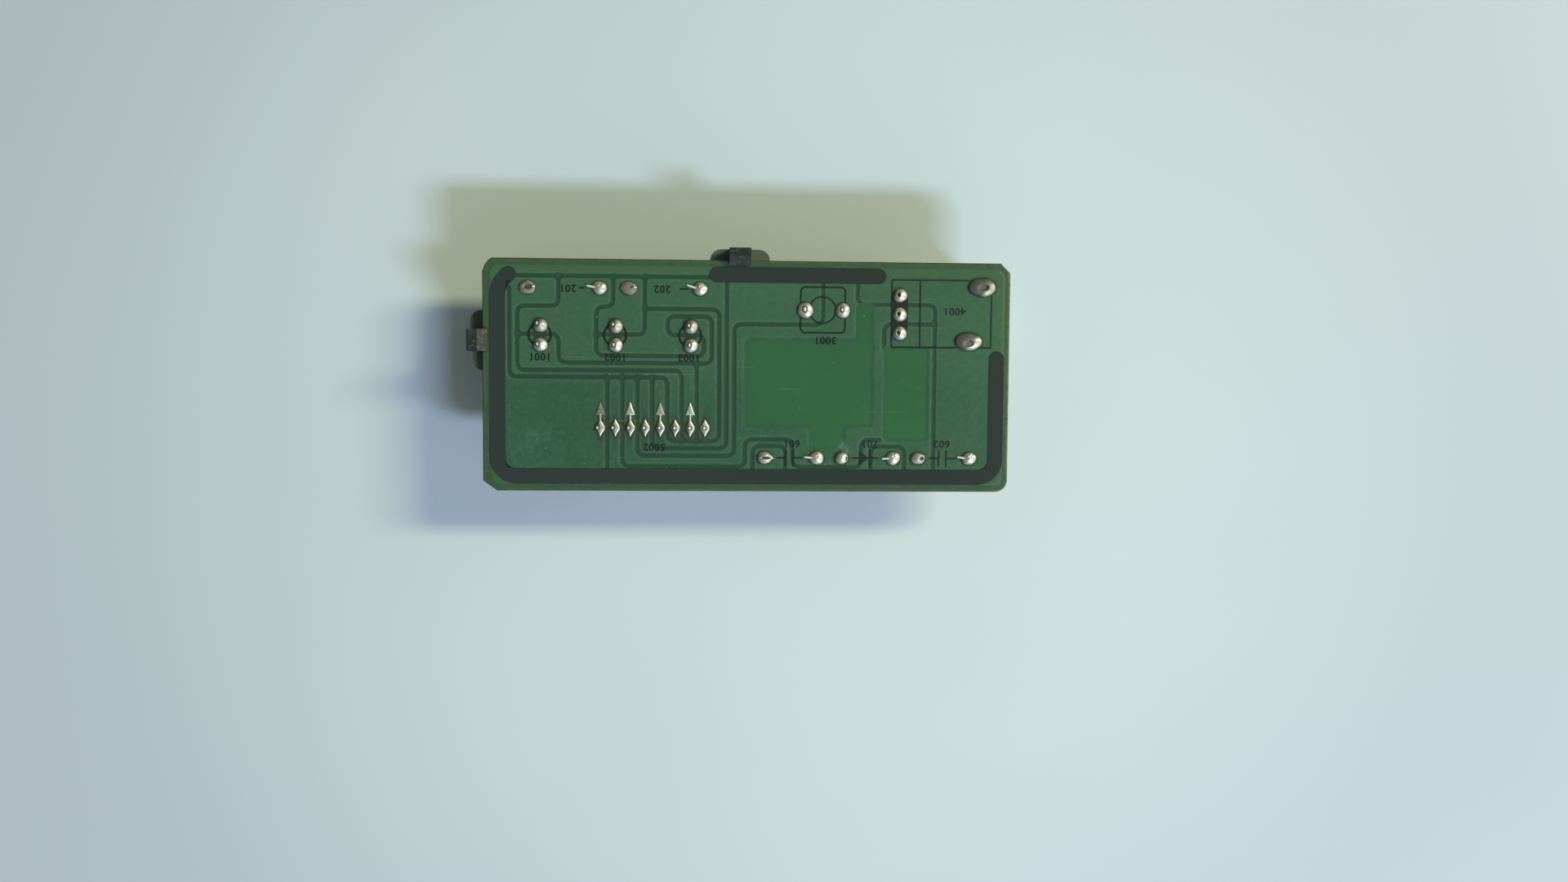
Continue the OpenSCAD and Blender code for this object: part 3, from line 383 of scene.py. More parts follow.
def mask_skin():
    """The solder mask over the whole copper side. A grid covers the board; near each corner a
    rectangle of it is drawn in along its own rays to the board's corner, the curve where the
    sum of both legs' shares, each to the power of its fullness, is one. Its height is the
    mask's on bare laminate, and rises to the copper's through a smooth step 0.12 mm wide at
    each copper edge. The scored top edge and the cut right edge are moved in by an irregular
    wave that fades inwards. A side wall and a flat face close it underneath."""
    cell, scored, cut, line_end = 0.155, 0.05, 0.02, 0.15
    nu, nv = int(RIGHT / cell) + 1, int(LOW / cell) + 1
    u, v = np.meshgrid(np.linspace(0, RIGHT, nu), np.linspace(0, LOW, nv))
    for cu, cv, leg_u, leg_v, full in CORNERS:
        su, sv = (1 if cu == 0 else -1), (1 if cv == 0 else -1)
        a = 1 - (u - cu) * su / leg_u
        b = 1 - (v - cv) * sv / leg_v
        inside = (a > TINY) & (b > TINY)
        a, b = np.where(inside, a, 1), np.where(inside, b, 1)
        k = np.maximum(a, b) / (a ** full + b ** full) ** (1 / full)
        u = np.where(inside, cu + su * leg_u * (1 - a * k), u)
        v = np.where(inside, cv + sv * leg_v * (1 - b * k), v)
    moved = scored + scored * np.clip(waves(u, 14, 9, 0.3, seed=3), -1, 1)
    v = v + moved * np.exp(-v / 0.35) * step(u, 0.0, 2.0)
    moved = cut + cut * np.clip(waves(v, 9, 7, 0.5, seed=5), -1, 1)
    u = u - moved * np.exp(-(RIGHT - u) / 0.3) * step(LOW - v, 0.2, 2.0)
    line, field, rim = etched(u, v), bare(u, v), box_distance(u, v, *RIM)
    copper = np.minimum(np.minimum(line, field), -rim)
    z = Z_TOP + MASK_T + (Z_FOIL - Z_TOP - MASK_T) * step(copper, -0.02, 0.1)
    joint, flux = near_joints(u, v)
    edge = np.minimum(np.minimum(u, RIGHT - u), np.minimum(v, LOW - v))
    # An etched line ends line_end before a bare field, which needs no line in it.
    fields = {"line": np.maximum(line, line_end - field), "field": field, "rim": rim,
              "edge": edge, "joint": joint, "flux": flux, "bloom": flux_bloom(u, v)}
    top = np.stack([to_x(u).ravel(), to_y(v).ravel(), z.ravel()], 1)
    at = np.arange(nu * nv).reshape(nv, nu)
    ring = np.concatenate([at[0, :-1], at[:-1, -1], at[-1, :0:-1], at[:0:-1, 0]])
    low = top[ring].copy()
    low[:, 2] = SKIN_FOOT
    base = len(top) + np.arange(len(ring))
    walls = np.stack([ring, np.roll(ring, -1), np.roll(base, -1), base], 1)
    faces = grid_faces(at).tolist() + walls.tolist() + [base.tolist()]
    fields = {k: np.concatenate([f.ravel(), f.ravel()[ring]]) for k, f in fields.items()}
    return put_mesh("solder_mask_skin", np.concatenate([top, low]), faces, fields=fields)


def mask_material():
    """Screen-printed green solder mask, glossy with a faint orange peel. Over copper it is a
    dull blue green, with a painted highlight along each side of the etched lines. In the
    narrow etched lines it is dark, partly painted shade along the copper's edges, and over wide
    bare laminate a fresher green, because light goes in. Brown flux lies round the joints, with
    a dark ring at each joint's foot that is partly painted shade, pale dried flux in a few
    patches, and the rim shows the cut laminate."""
    m, t, s = material("screen_printed_solder_mask", IOR=1.5)
    line, field, rim, edge, joint, flux, bloom = (
        add(t, "Attribute", attribute_name=n, out="Fac")
        for n in ("line", "field", "rim", "edge", "joint", "flux", "bloom"))
    broad, grain, fine = cloud(t, 0.05, 3), cloud(t, 1.6, 3, 0.6), cloud(t, 9.0, 2)
    place = add(t, "TexCoord", out="Object")
    x, y = add(t, "SeparateXYZ", place), add(t, "SeparateXYZ", place, out="Y")
    ends, last = (x, -0.034, 0.034, 1), (x, 0.0335, 0.036)
    # Copper fields: bluer below, with a painted highlight along the banks of each etched line,
    # where the copper's edge would catch light
    upper = over(t, lin("#375b41"), (*ends, "#345a40"))
    copper = over(t, lin("#2d523c"), (*ends, "#30563d"))
    copper = over(t, copper, (y, float(to_y(18)) * MM, float(to_y(13)) * MM, 1, upper),
                  (broad, 0.35, 0.7, 0.35, "#3c6647"), (grain, 0.4, 0.75, 0.18, "#4d7258"))
    bank_highlight = add(t, "Math", add(t, "Math", line, 0.22, **LESS), **SIZE)
    copper = over(t, copper, (bank_highlight, 0.17, 0.05, 0.16, "#4f755a"))
    # Bare fields, darker towards their edges, with the copper and then the lines laid over.
    # Each etched line is dark, partly from the thicker mask in it and partly painted shade along
    # the copper's edges, and lighter in its middle.
    base = over(t, lin("#2a5938"), (broad, 0.35, 0.7, 1, "#2d6139"),
                (field, -0.75, 0.0, 0.5, "#25503a"), (field, -0.05, 0.06, 1, copper),
                (line, 0.1, -0.03, 1, "#22412e"), (line, -0.13, -0.24, 0.4, "#2f5039"))
    # The border outside the copper, a lighter line along it, and the torn cut edge
    border = over(t, lin("#33503a"), (grain, 0.35, 0.7, 1, "#3d5439"), (*last, 0.4, "#4d5a40"))
    inner = add(t, "Math", add(t, "Math", rim, 0.47, **PLUS), **SIZE)
    torn = add(t, "MapRange", cloud(t, 1.1, 4, 0.65), 0.38, 0.56, **EASE)
    raw = add(t, "Math", add(t, "MapRange", edge, 0.5, 0.12, **EASE), torn, **TIMES)
    cut = over(t, lin("#4b563a"), (*last, 0.6, "#62764f"))
    # Flux stains, a dark ring round each joint's foot that is partly the mask's edge there and
    # partly painted shade, dried flux, specks and faint scuffs along the board
    uneven = add(t, "MapRange", grain, 0.25, 0.6, 0.6, 1.0, **EASE)
    stain = add(t, "Math", flux, uneven, **TIMES)
    curdled = add(t, "MapRange", cloud(t, 0.9, 5, 0.72, warp=0.8), 0.4, 0.68, **EASE)
    patch = add(t, "Math", bloom, curdled, **TIMES)
    specks, scuffs = cloud(t, 2.1, 1, 0.3), cloud(t, 0.8, 2, 0.5, (0.12, 2.6, 1))
    base = over(t, base, (rim, -0.05, 0.06, 1, border), (inner, 0.55, 0.43, 0.35, "#46603c"),
                (raw, 0, 1, 0.75, cut), (stain, 0.12, 0.9, 0.8, "#3a4230"),
                (joint, 0.3, 0.06, 0.6, "#1f3728"), (patch, 0, 1, 0.6, "#6c8c80"),
                (specks, 0.80, 0.84, 0.35, "#9fb0a2"), (scuffs, 0.70, 0.74, 0.16, "#7c9686"))
    rough = add(t, "Math", grain, 0.16, 0.24, **TIMES_PLUS)
    peel = add(t, "Math", fine, 0.25, grain, **TIMES_PLUS)
    feed(s, Base_Color=base, Roughness=add(t, "Math", patch, 0.3, rough, **TIMES_PLUS),
         Normal=add(t, "Bump", Height=peel, Distance=0.012 * MM, Strength=0.5))
    return m


def ink_material():
    """Black epoxy legend ink, screen printed: nearly flat, a little rough, thinner where the
    mesh let less through. The thin lines of the parts inside the broad border are the
    blackest."""
    m, t, s = material("screen_printed_legend_ink", Roughness=0.5, IOR=1.5,
                       Specular_IOR_Level=0.4)
    place = add(t, "TexCoord", out="Object")
    far = []
    for out, low, high in (("X", to_x(3.05), to_x(RIGHT - 2.85)),
                           ("Y", to_y(LOW - 3.06), to_y(2.99))):
        along = add(t, "SeparateXYZ", place, out=out)
        off = add(t, "Math", add(t, "Math", along, float(low + high) / 2 * MM, **LESS), **SIZE)
        far.append(add(t, "Math", off, float(high - low) / 2 * MM, **LESS))
    border = add(t, "Math", far[0], far[1], **MOST)
    broad = over(t, lin("#26312d"), (cloud(t, 1.3, 4, 0.65), 0.5, 0.8, 0.35, "#2c3c33"),
                 (add(t, "SeparateXYZ", place), -0.033, 0.036, 0.95, "#132218"))
    base = over(t, lin("#0d1b11"), (border, -0.05 * MM, 0.02 * MM, 1, broad))
    feed(s, Base_Color=base,
         Normal=add(t, "Bump", Height=cloud(t, 6, 3), Distance=0.006 * MM, Strength=0.4))
    return m


def laminate_material():
    """Punched and scored paper phenolic laminate: tan underneath, with olive rough cut edges
    and paper fibres along the board."""
    m, t, s = material("punched_paper_phenolic", Roughness=0.62, IOR=1.5)
    fibre = cloud(t, 2.2, 4, 0.6, (0.25, 1.2, 1))
    face = over(t, lin("#a58d5b"), (fibre, 0.35, 0.7, 1, "#b59c69"))
    up = add(t, "SeparateXYZ", add(t, "NewGeometry", out="Normal"), out="Z")
    base = over(t, lin("#3b432d"), (cloud(t, 2.6, 5, 0.7, (1, 1, 3)), 0.35, 0.68, 1, "#565c40"),
                (up, -0.5, -0.8, 1, face))
    grit = cloud(t, 5, 4, 0.7, (1, 1, 2.5))
    feed(s, Base_Color=base, Normal=add(t, "Bump", Height=grit, Distance=0.05 * MM, Strength=0.7))
    return m


# ---------------------------------------------------------------- solder
# A joint's rays, its first rings in shares of the core, its other rings out to the foot, the
# shares of half-ellipse and cusp in its height, and the least height
RAYS = 40
CORE_RINGS = np.array([0, 0.45, 0.8, 0.97, 1.12, 1.35, 1.75])
FOOT_RINGS = np.linspace(0, 1, 12)[1:]
DOME, CUSP, LEAST = 0.72, 0.28, 0.02
# Points of a joint, and of the digits, closer than this in metres become one.
MERGE, DIGIT_MERGE = 2e-6, 1e-7


def polar_faces(rings, n):
    """Faces of a polar grid: a fan round point 0, rings of quads, and a flat face underneath."""
    at = 1 + np.arange(rings * n).reshape(rings, n)
    nxt = np.roll(at, -1, 1)
    fan = np.stack([np.zeros(n, int), at[0], nxt[0]], 1)
    quads = np.stack([at[:-1], at[1:], nxt[1:], nxt[:-1]], -1).reshape(-1, 4)
    return fan.tolist() + quads.tolist() + [at[-1, ::-1].tolist()]


def mound(cu, cv, a, b, h, seed, tip, core, rise, dull=0.0, ripple=0.05, flux_and_shade_film=0.4):
    """One solder joint on a polar grid round its lead, tip. The foot is an ellipse with a
    slightly wavy edge. The height falls from the middle as a dome, part half-ellipse and part
    cusp. In an ellipse round the lead, of half sizes core, a smooth step raises it to the
    lead's cut end by rise mm, with a channel round it; if rise is negative it sinks there by
    that share of its height to an open pit. A dark colour, partly flux and partly painted
    shade, grows to the upper left, the side away from the lamps, by a smooth step, and the
    last argument says how much. It gives points, faces, how much each point is cut lead, how
    dark it is in its channel, pit, flux and painted shade, and how dull it is."""
    w = np.linspace(0, 2 * math.pi, RAYS, endpoint=False)
    wave = 1 + ripple * (0.4 * np.sin(2 * w + seed) + 0.5 * np.sin(3 * w + 2.1 * seed)
                         + 0.25 * np.sin(5 * w + 3.7 * seed))
    du, dv = np.cos(w), np.sin(w)
    px, py = tip
    # A ray from the lead reaches the foot's ellipse where qa d^2 + qb d + qc is nought.
    qa = du ** 2 / a ** 2 + dv ** 2 / b ** 2
    qb = 2 * (px * du / a ** 2 + py * dv / b ** 2)
    qc = px ** 2 / a ** 2 + py ** 2 / b ** 2 - 1
    reach = (-qb + np.sqrt(qb ** 2 - 4 * qa * qc)) / (2 * qa) * wave
    core_d = 1 / np.hypot(du / core[0], dv / core[1])
    last = CORE_RINGS[-1] * core_d
    d = np.concatenate([CORE_RINGS[:, None] * core_d, last + (reach - last) * FOOT_RINGS[:, None]])
    x, y, k = px + du * d, py + dv * d, d / core_d
    q = np.clip(np.hypot(x / (a * wave), y / (b * wave)), 0, 1)
    z = h * (DOME * np.sqrt(1 - q ** 2) + CUSP * (1 - q) ** 1.3)
    if rise > 0:
        lead, groove_flux_and_shade = 1 - step(k, 0.8, 1.2), step(k, 0.85, 1.1) * (1 - step(k, 1.5, 2.4))
        z = z + rise * lead * (1 - 0.15 * k ** 2) - 0.06 * groove_flux_and_shade
    else:
        lead, groove_flux_and_shade = 0 * k, 1 - step(k, 0.75, 1.25)
        z = z * (1 + rise * groove_flux_and_shade)
        groove_flux_and_shade = groove_flux_and_shade * min(1.0, -1.25 * rise)
    # Painted shade and flux: a dark colour on the upper left, the side away from the lamps.
    upper_left = (0.6 * y / b - x / a) / 1.17
    flux = flux_and_shade_film * step(upper_left, 0.2 - 0.7 * flux_and_shade_film, 0.9 - 0.4 * flux_and_shade_film) * (1 - lead)
    groove_flux_and_shade = np.maximum(groove_flux_and_shade, flux)
    z = np.maximum(z, LEAST)
    z[-1] = 0
    # The first ring is one point, so all but its last copy are left out.
    points, lead, groove_flux_and_shade = (f[RAYS - 1:] for f in (
        np.stack([to_x(cu) + x, to_y(cv) + y, JOINT_FOOT + z], -1).reshape(-1, 3),
        lead.ravel(), groove_flux_and_shade.ravel()))
    return points, polar_faces(len(k) - 1, RAYS), lead, groove_flux_and_shade, np.full(len(points), dull)


def capsule(u0, v0, u1, v1, r, height, dull=0.0, taper=1.0, lead=0.0):
    """A bent-over lead end under solder: a half-round strip with round ends, from one point to
    the other, where it is taper times as wide. Each cross-section is half an ellipse."""
    n, k = 16, 9
    blunt = 0.0004
    length = math.hypot(u1 - u0, v1 - v0)
    ex, ey = (u1 - u0) / length, -(v1 - v0) / length
    t = np.linspace(0, 1, n)
    s = -r + t * (length + 2 * r)
    inside = np.clip(np.minimum(s + r, length + r - s) / r, 0, 1)
    wide = r * np.sqrt(np.clip(1 - (1 - inside) ** 2, blunt, 1)) * (1 + (taper - 1) * t)
    w = np.linspace(0, math.pi, k)
    across, up = np.outer(wide, np.cos(w)), np.outer(wide / r * height, np.sin(w))
    x = to_x(u0) + ex * s[:, None] - ey * across
    y = to_y(v0) + ey * s[:, None] + ex * across
    points = np.stack([x, y, JOINT_FOOT + up], -1).reshape(-1, 3)
    at = np.arange(n * k).reshape(n, k)
    under = np.concatenate([at[:, 0], at[::-1, -1]])
    faces = grid_faces(at).tolist() + [at[0].tolist(), at[-1, ::-1].tolist(), under.tolist()]
    size = len(points)
    return points, faces, np.full(size, lead), np.zeros(size), np.full(size, dull)


def pad(cu, cv, outline, h, dull=0.0, stain=0.0):
    """A tinned pad on rays from the middle of a star-shaped outline. Its height is h times the
    root of one less the cube of the share of the way out. Its left, away from the lamps, is
    dark, partly flux stain and partly painted shade."""
    cuts, rings = 4, 6
    o = np.asarray(outline, float)
    o = np.concatenate([np.linspace(p, q, cuts + 1)[:-1] for p, q in zip(o, np.roll(o, -1, 0))])
    mid = o.mean(0)
    r = np.linspace(0, 1, rings + 1)[:, None, None]
    flat = (mid + (o - mid) * r).reshape(-1, 2)[len(o) - 1:]
    z = h * np.sqrt(1 - np.repeat(r.ravel(), len(o))[len(o) - 1:] ** 3)
    points = np.stack([to_x(cu + flat[:, 0]), to_y(cv + flat[:, 1]), JOINT_FOOT + z], 1)
    # Dark on the left: partly flux, partly painted shade on the side away from the lamps.
    flux = stain * (1 - step(flat[:, 0], -0.3, 0.12))
    size = len(points)
    return points, polar_faces(rings, len(o)), np.zeros(size), flux, np.full(size, dull)


def joined(name, parts):
    """Several closed forms as one piece, turned the right way out."""
    start = np.cumsum([0] + [len(p[0]) for p in parts])
    faces = [[i + k for i in face] for k, p in zip(start.tolist(), parts) for face in p[1]]
    co, lead, groove_flux_and_shade, dull = (np.concatenate([p[i] for p in parts]) for i in (0, 2, 3, 4))
    ob = put_mesh(name, co, faces, fields={"lead": lead, "groove_flux_and_shade": groove_flux_and_shade, "dull": dull})
    bm = bmesh.new()
    bm.from_mesh(ob.data)
    bmesh.ops.remove_doubles(bm, verts=bm.verts, dist=MERGE)
    bmesh.ops.recalc_face_normals(bm, faces=bm.faces)
    bm.to_mesh(ob.data)
    bm.free()
    return ob


def solder_material():
    """Wave-soldered tin-lead with a matt grainy skin: creamy where fresh, grey brown where it
    cooled slowly, with bright cut lead ends, near white, which on the bent tails is a painted
    highlight. Dark olive brown lies in the channels and pits round the leads, on the upper left
    of many joints and on the left of the pads: partly flux and partly painted shade on the
    sides away from the lamps."""
    m, t, s = material("wave_soldered_tin_lead")
    lead, groove_flux_and_shade, dull = (add(t, "Attribute", attribute_name=n, out="Fac")
                          for n in ("lead", "groove_flux_and_shade", "dull"))
    frost = cloud(t, 3.2, 4, 0.65)
    bright = over(t, lin("#b6b8a6"), (frost, 0.35, 0.7, 1, "#cfd1c1"))
    grey = over(t, lin("#636154"), (frost, 0.35, 0.7, 1, "#868272"))
    # Dark colour: partly flux, partly painted shade in the channels and pits and on the sides away
    # from the lamps. Near white on the cut lead ends, a painted highlight on the bent tails.
    base = over(t, bright, (dull, 0, 1, 1, grey), (lead, 0.3, 0.9, 1, "#e9e9de"),
                (groove_flux_and_shade, 0.1, 0.95, 0.85, "#34352a"))
    plain = add(t, "Math", add(t, "Math", groove_flux_and_shade, dull, **MOST), lead, **MOST)
    rough = add(t, "Math", dull, 0.2, 0.27, **TIMES_PLUS)
    feed(s, Base_Color=base, Metallic=add(t, "Math", plain, -0.6, 0.68, **TIMES_PLUS),
         Roughness=add(t, "Math", frost, 0.2, rough, **TIMES_PLUS),
         Normal=add(t, "Bump", Height=cloud(t, 7, 3, 0.6), Distance=0.012 * MM, Strength=0.3))
    return m


# ---------------------------------------------------------------- build the copper side
solder = solder_material()
ink = ink_material()
dress(mask_skin(), mask_material(), "solder_mask", "copper_foil")
paint(ink, "printed_marks")
paint(laminate_material(), "board")

# A mound's numbers: its middle, half sizes, height and seed, where its lead is, the half sizes
# of the core there, the rise, and where they differ from the usual, dullness, ripple and the dark
# film of flux and painted shade on its upper left
lights = []
for i, u in enumerate(LED_US):
    lights.append(mound(u, LED_V - HALF_PITCH, 0.97, 0.95, 0.74, 1.3 + i,
                        (-0.38 + 0.06 * i, 0.32 - 0.08 * i), (0.17, 0.23), 0.24, 0.45, flux_and_shade_film=0.75))
    lights.append(mound(u + 0.05, LED_V + HALF_PITCH, 0.98, 0.93, 0.72, 4.1 + i,
                        (-0.38 + 0.08 * i, 0.08), (0.17, 0.24), 0.22, flux_and_shade_film=0.5))
dress(joined("light_joints", lights), solder, "solder", "led_solder")

switch = [mound(SW_FIRST, SW_V, 1.08, 1.06, 0.7, 2.2, (-0.12, 0.12), (0.2, 0.28), 0.14, 0.15),
          mound(SW_FIRST + SW_GAP, SW_V, 1.02, 1.0, 0.7, 5.2, (-0.18, 0.12), (0.16, 0.24),
                0.12, 0.2)]
dress(joined("switch_joints", switch), solder, "solder", "switch_solder")

# How much flux and painted shade lie on the upper left of each receiver joint, from the top one
# down
REC_FLUX_AND_SHADE = (0.65, 0.4, 0.0)
receiver = [mound(REC_U, v, 0.96, 0.95, 0.72, 3.3 * k + 1, (-0.24, 0.1), (0.2, 0.28), -0.7,
                  flux_and_shade_film=flux_and_shade_film) for k, (v, flux_and_shade_film) in enumerate(zip(REC_VS, REC_FLUX_AND_SHADE))]
dress(joined("receiver_joints", receiver), solder, "solder", "receiver_solder")

# Each can joint: half width, and the middle and half sizes of the pit beside the tab
PITS = ((1.25, (0.1, -0.05), (0.68, 0.36)), (1.18, (0.0, -0.25), (0.6, 0.38)))
tabs = [mound(u, v, 1.85, b, 0.7, 2.4 + k, pit, core, -0.5, 0.5 - 0.2 * k, 0.06, 1.6 - 0.1 * k)
        for k, ((u, v), (b, pit, core)) in enumerate(zip(TABS, PITS))]
dress(joined("can_joints", tabs), solder, "solder", "can_tab_solder")

# Each first joint: half length and width, height, dullness, its pit's middle, half sizes and depth
FIRST = ((1.06, 0.95, 0.42, 0.85, (0.1, 0.1), (0.6, 0.34), -0.7),
         (1.12, 0.92, 0.4, 1.0, (0.35, 0.22), (0.3, 0.16), -0.5),
         (1.03, 0.82, 0.6, 0.35, (0.25, 0.0), (0.65, 0.17), -0.8),
         (0.9, 0.82, 0.6, 0.3, (0.72, -0.05), (0.12, 0.3), -0.8),
         (1.02, 0.8, 0.55, 0.5, (0.55, 0.0), (0.26, 0.24), -0.9))
# Each clinched end: how far it is dropped, how long it is and how dull its joint is
TAILS = ((-0.3, 1.65, 0.4), (-0.5, 1.75, 0.0), (-0.12, 1.65, 0.3), (0.05, 1.5, 0.1),
         (-0.22, 1.6, 0.0))
# The first three of the first joints also show the lead's end beside the pit.
ENDS_SHOWN = 3
axial = []
for k, ((u, gap, v), first, (drop, tail, dim)) in enumerate(zip(AXIAL, FIRST, TAILS)):
    a, b, h, dull, pit, core, deep = first
    axial.append(mound(u, v, a, b, h, 1.7 + k, pit, core, deep, dull, 0.08))
    if k < ENDS_SHOWN:
        axial.append(capsule(u + a - 0.35, v - 0.12, u + a - 0.12, v - 0.15, 0.12, 0.3, lead=0.9))
    axial.append(mound(u + gap, v, 1.0, 0.9, 0.6, 3.1 + k, (0.1, 0.25), (0.2, 0.12), -0.12, dim,
                       0.07, 0.02))
    # The bent tail is near white: its cut lead, and a painted highlight along its top.
    axial.append(capsule(u + gap - tail, v + drop, u + gap - 0.2, v, 0.13, 0.32, taper=1.5,
                         lead=0.95))
dress(joined("axial_joints", axial), solder, "solder", "axial_solder")

# Header: how far each pin leans to the left, and how dull each arrow is. The last pin's joint
# has less flux and painted shade on it.
LEAN = (0.4, 0.35, 0.24, 0.17, 0.13, 0.08, 0.07, 0.1)
ARROW_DULL = (0.95, 0.1, 0.6, 0.1)
PAD = [(0, -PAD_B), (0.3, -0.76), (PAD_A, -0.2), (PAD_A, 0.2), (0.3, 0.76), (0, PAD_B),
       (-0.3, 0.76), (-PAD_A, 0.2), (-PAD_A, -0.2), (-0.3, -0.76)]
ARROW = [(-0.7, -1.72), (-0.4, -2.5), (-0.08, -3.5), (0.08, -3.5), (0.4, -2.5), (0.7, -1.72),
         (0.2, -1.66), (-0.2, -1.66)]
header = []
for i, (u, lean) in enumerate(zip(PIN_US, LEAN)):
    stain, flux_and_shade_film = (0.9, 1.0) if i < PIN_COUNT - 1 else (0.4, 0.6)
    header.append(pad(u, PIN_V, PAD, 0.16, 0.2, stain))
    header.append(mound(u - 0.5 * lean, PIN_V, 0.48, 0.56, 0.3, 1.1 * i, (-0.5 * lean, 0.02),
                        (0.18, 0.2), 0.2, 0.8, 0.04, flux_and_shade_film))
    if i % 2 == 0:
        dull = ARROW_DULL[i // 2]
        header.append(pad(u, PIN_V, ARROW, 0.14, dull))
        header.append(capsule(u, PIN_V - 1.85, u, PIN_V - 0.9, 0.17, 0.16, dull * 0.6))
dress(joined("header_joints", header), solder, "solder", "header_solder")

# Each printed number, the u and v of its middle, the height of the digits, and the size of the
# typeface that gives digits of that height
DIGITS = (("1001", 7.6, 13.05), ("1002", 17.6, 13.05), ("1003", 27.4, 13.05),
          ("201", 11.3, 3.92), ("202", 23.8, 3.9), ("3001", SW_U + 0.25, 10.55),
          ("4001", RIGHT - 7.55, 6.5), ("5002", 22.8, LOW - 5.95), ("601", CAP_U + 3.7, LOW - 6.5),
          ("701", DIODE_U + 3.9, LOW - 6.5), ("602", LAST_CAP_U + 3.3, LOW - 6.55))
DIGIT_H, TYPE_SIZE = 1.0, 1.36


def digits(text, u, v):
    """Plain printed digits as a flat mesh, centred at a place and upside down, like the
    board's other print."""
    curve = bpy.data.curves.new("digits", "FONT")
    curve.body = text
    curve.align_x = curve.align_y = "CENTER"
    curve.size = DIGIT_H * MM * TYPE_SIZE
    curve.space_character = 1.12
    curve.extrude = 0.004 * MM
    curve.offset = 0.035 * MM
    ob = new_object("digits", curve)
    bpy.context.view_layer.update()
    shaped = ob.evaluated_get(bpy.context.evaluated_depsgraph_get())
    me = bpy.data.meshes.new_from_object(shaped)
    x, y, z = float(to_x(u)) * MM, float(to_y(v)) * MM, (Z_FOIL + INK_T * 0.6) * MM
    me.transform(Matrix.Translation((x, y, z)) @ Matrix.Rotation(math.pi, 4, "Z"))
    bpy.data.objects.remove(ob)
    return me


def printed_digits():
    """All the printed digits as one piece."""
    bm = bmesh.new()
    for text, u, v in DIGITS:
        me = digits(text, u, v)
        bm.from_mesh(me)
        bpy.data.meshes.remove(me)
    bmesh.ops.remove_doubles(bm, verts=bm.verts, dist=DIGIT_MERGE)
    me = bpy.data.meshes.new("printed_digits")
    bm.to_mesh(me)
    bm.free()
    return new_object("printed_digits", me)


dress(printed_digits(), ink, "ink")


# ---------------------------------------------------------------- holder and parts
def moulded(name, colour, light, rough=0.5, peel=0.02, dust=0.25):
    """Moulded thermoplastic: a fine spark-eroded skin, a little lighter where handled and
    dusty."""
    m, t, s = material(name, IOR=1.5)
    wear = add(t, "MapRange", cloud(t, 0.35, 5, 0.65), 0.45, 0.75, **EASE)
    base = over(t, lin(colour), (wear, 0, 1, dust, light))
    feed(s, Base_Color=base, Roughness=add(t, "Math", wear, 0.15, rough - 0.05, **TIMES_PLUS),
         Normal=add(t, "Bump", Height=cloud(t, 6, 3, 0.6), Distance=peel * MM, Strength=0.5))
    return m, t, s, base


def holder_material():
    """Moulded black ABS: its ledges beside the board are painted lighter where they look up,
    painted light standing in for the sheen they catch, and the heads of its hooks, which rub
    when the board snaps in, are scuffed grey."""
    m, t, s, base = moulded("moulded_black_abs", "#202724", "#444b47", 0.5, 0.03, 0.5)
    feed(s, Specular_IOR_Level=0.3)
    z = add(t, "SeparateXYZ", add(t, "TexCoord", out="Object"), out="Z")
    up = add(t, "SeparateXYZ", add(t, "NewGeometry", out="Normal"), out="Z")
    # Painted light: lighter on faces that look up, at the height of the ledges, standing in for the
    # sheen they catch
    ledge_sheen = add(t, "Math", add(t, "MapRange", z, 9.9 * MM, 9.98 * MM, **EASE),
                add(t, "MapRange", z, 10.6 * MM, 10.2 * MM, **EASE), **TIMES)
    ledge_sheen = add(t, "Math", ledge_sheen, add(t, "MapRange", up, 0.7, 0.9, **EASE), **TIMES)
    # Scuffs: on all that stands above the copper
    head = add(t, "MapRange", z, Z_FOIL * MM, (Z_FOIL + 0.3) * MM, **EASE)
    rubbed = add(t, "MapRange", cloud(t, 1.4, 4, 0.7, (1, 1.6, 1)), 0.5, 0.7, **EASE)
    scuff = add(t, "Math", head, rubbed, **TIMES)
    feed(s, Base_Color=over(t, base, (ledge_sheen, 0, 1, 0.85, "#667466"),
                            (scuff, 0, 1, 0.5, "#59625c")))
    return m


def metal(name, colour, stain, rough=0.3, stretch=(1, 1, 1), grain=4.0):
    """Plated sheet or wire: its tin or nickel skin with faint rolling lines and a little dull
    stain."""
    m, t, s = material(name, Metallic=1.0)
    lines = cloud(t, grain, 3, 0.6, stretch)
    feed(s, Base_Color=over(t, lin(colour), (cloud(t, 0.4, 4, 0.6), 0.4, 0.75, 0.55, stain)),
         Roughness=add(t, "Math", lines, 0.18, rough - 0.08, **TIMES_PLUS),
         Normal=add(t, "Bump", Height=lines, Distance=0.008 * MM, Strength=0.5))
    return m


def epoxy(name, colour, deep, see=0.0, rough=0.2):
    """Cast epoxy: smooth and glossy, clear or tinted, with a slight cloudiness."""
    m, t, s = material(name, Roughness=rough, IOR=1.52, Transmission_Weight=see)
    feed(s, Base_Color=over(t, lin(colour), (cloud(t, 0.7, 3), 0.35, 0.7, 1, deep)),
         Normal=add(t, "Bump", Height=cloud(t, 1.5, 2), Distance=0.01 * MM, Strength=0.3))
    return m


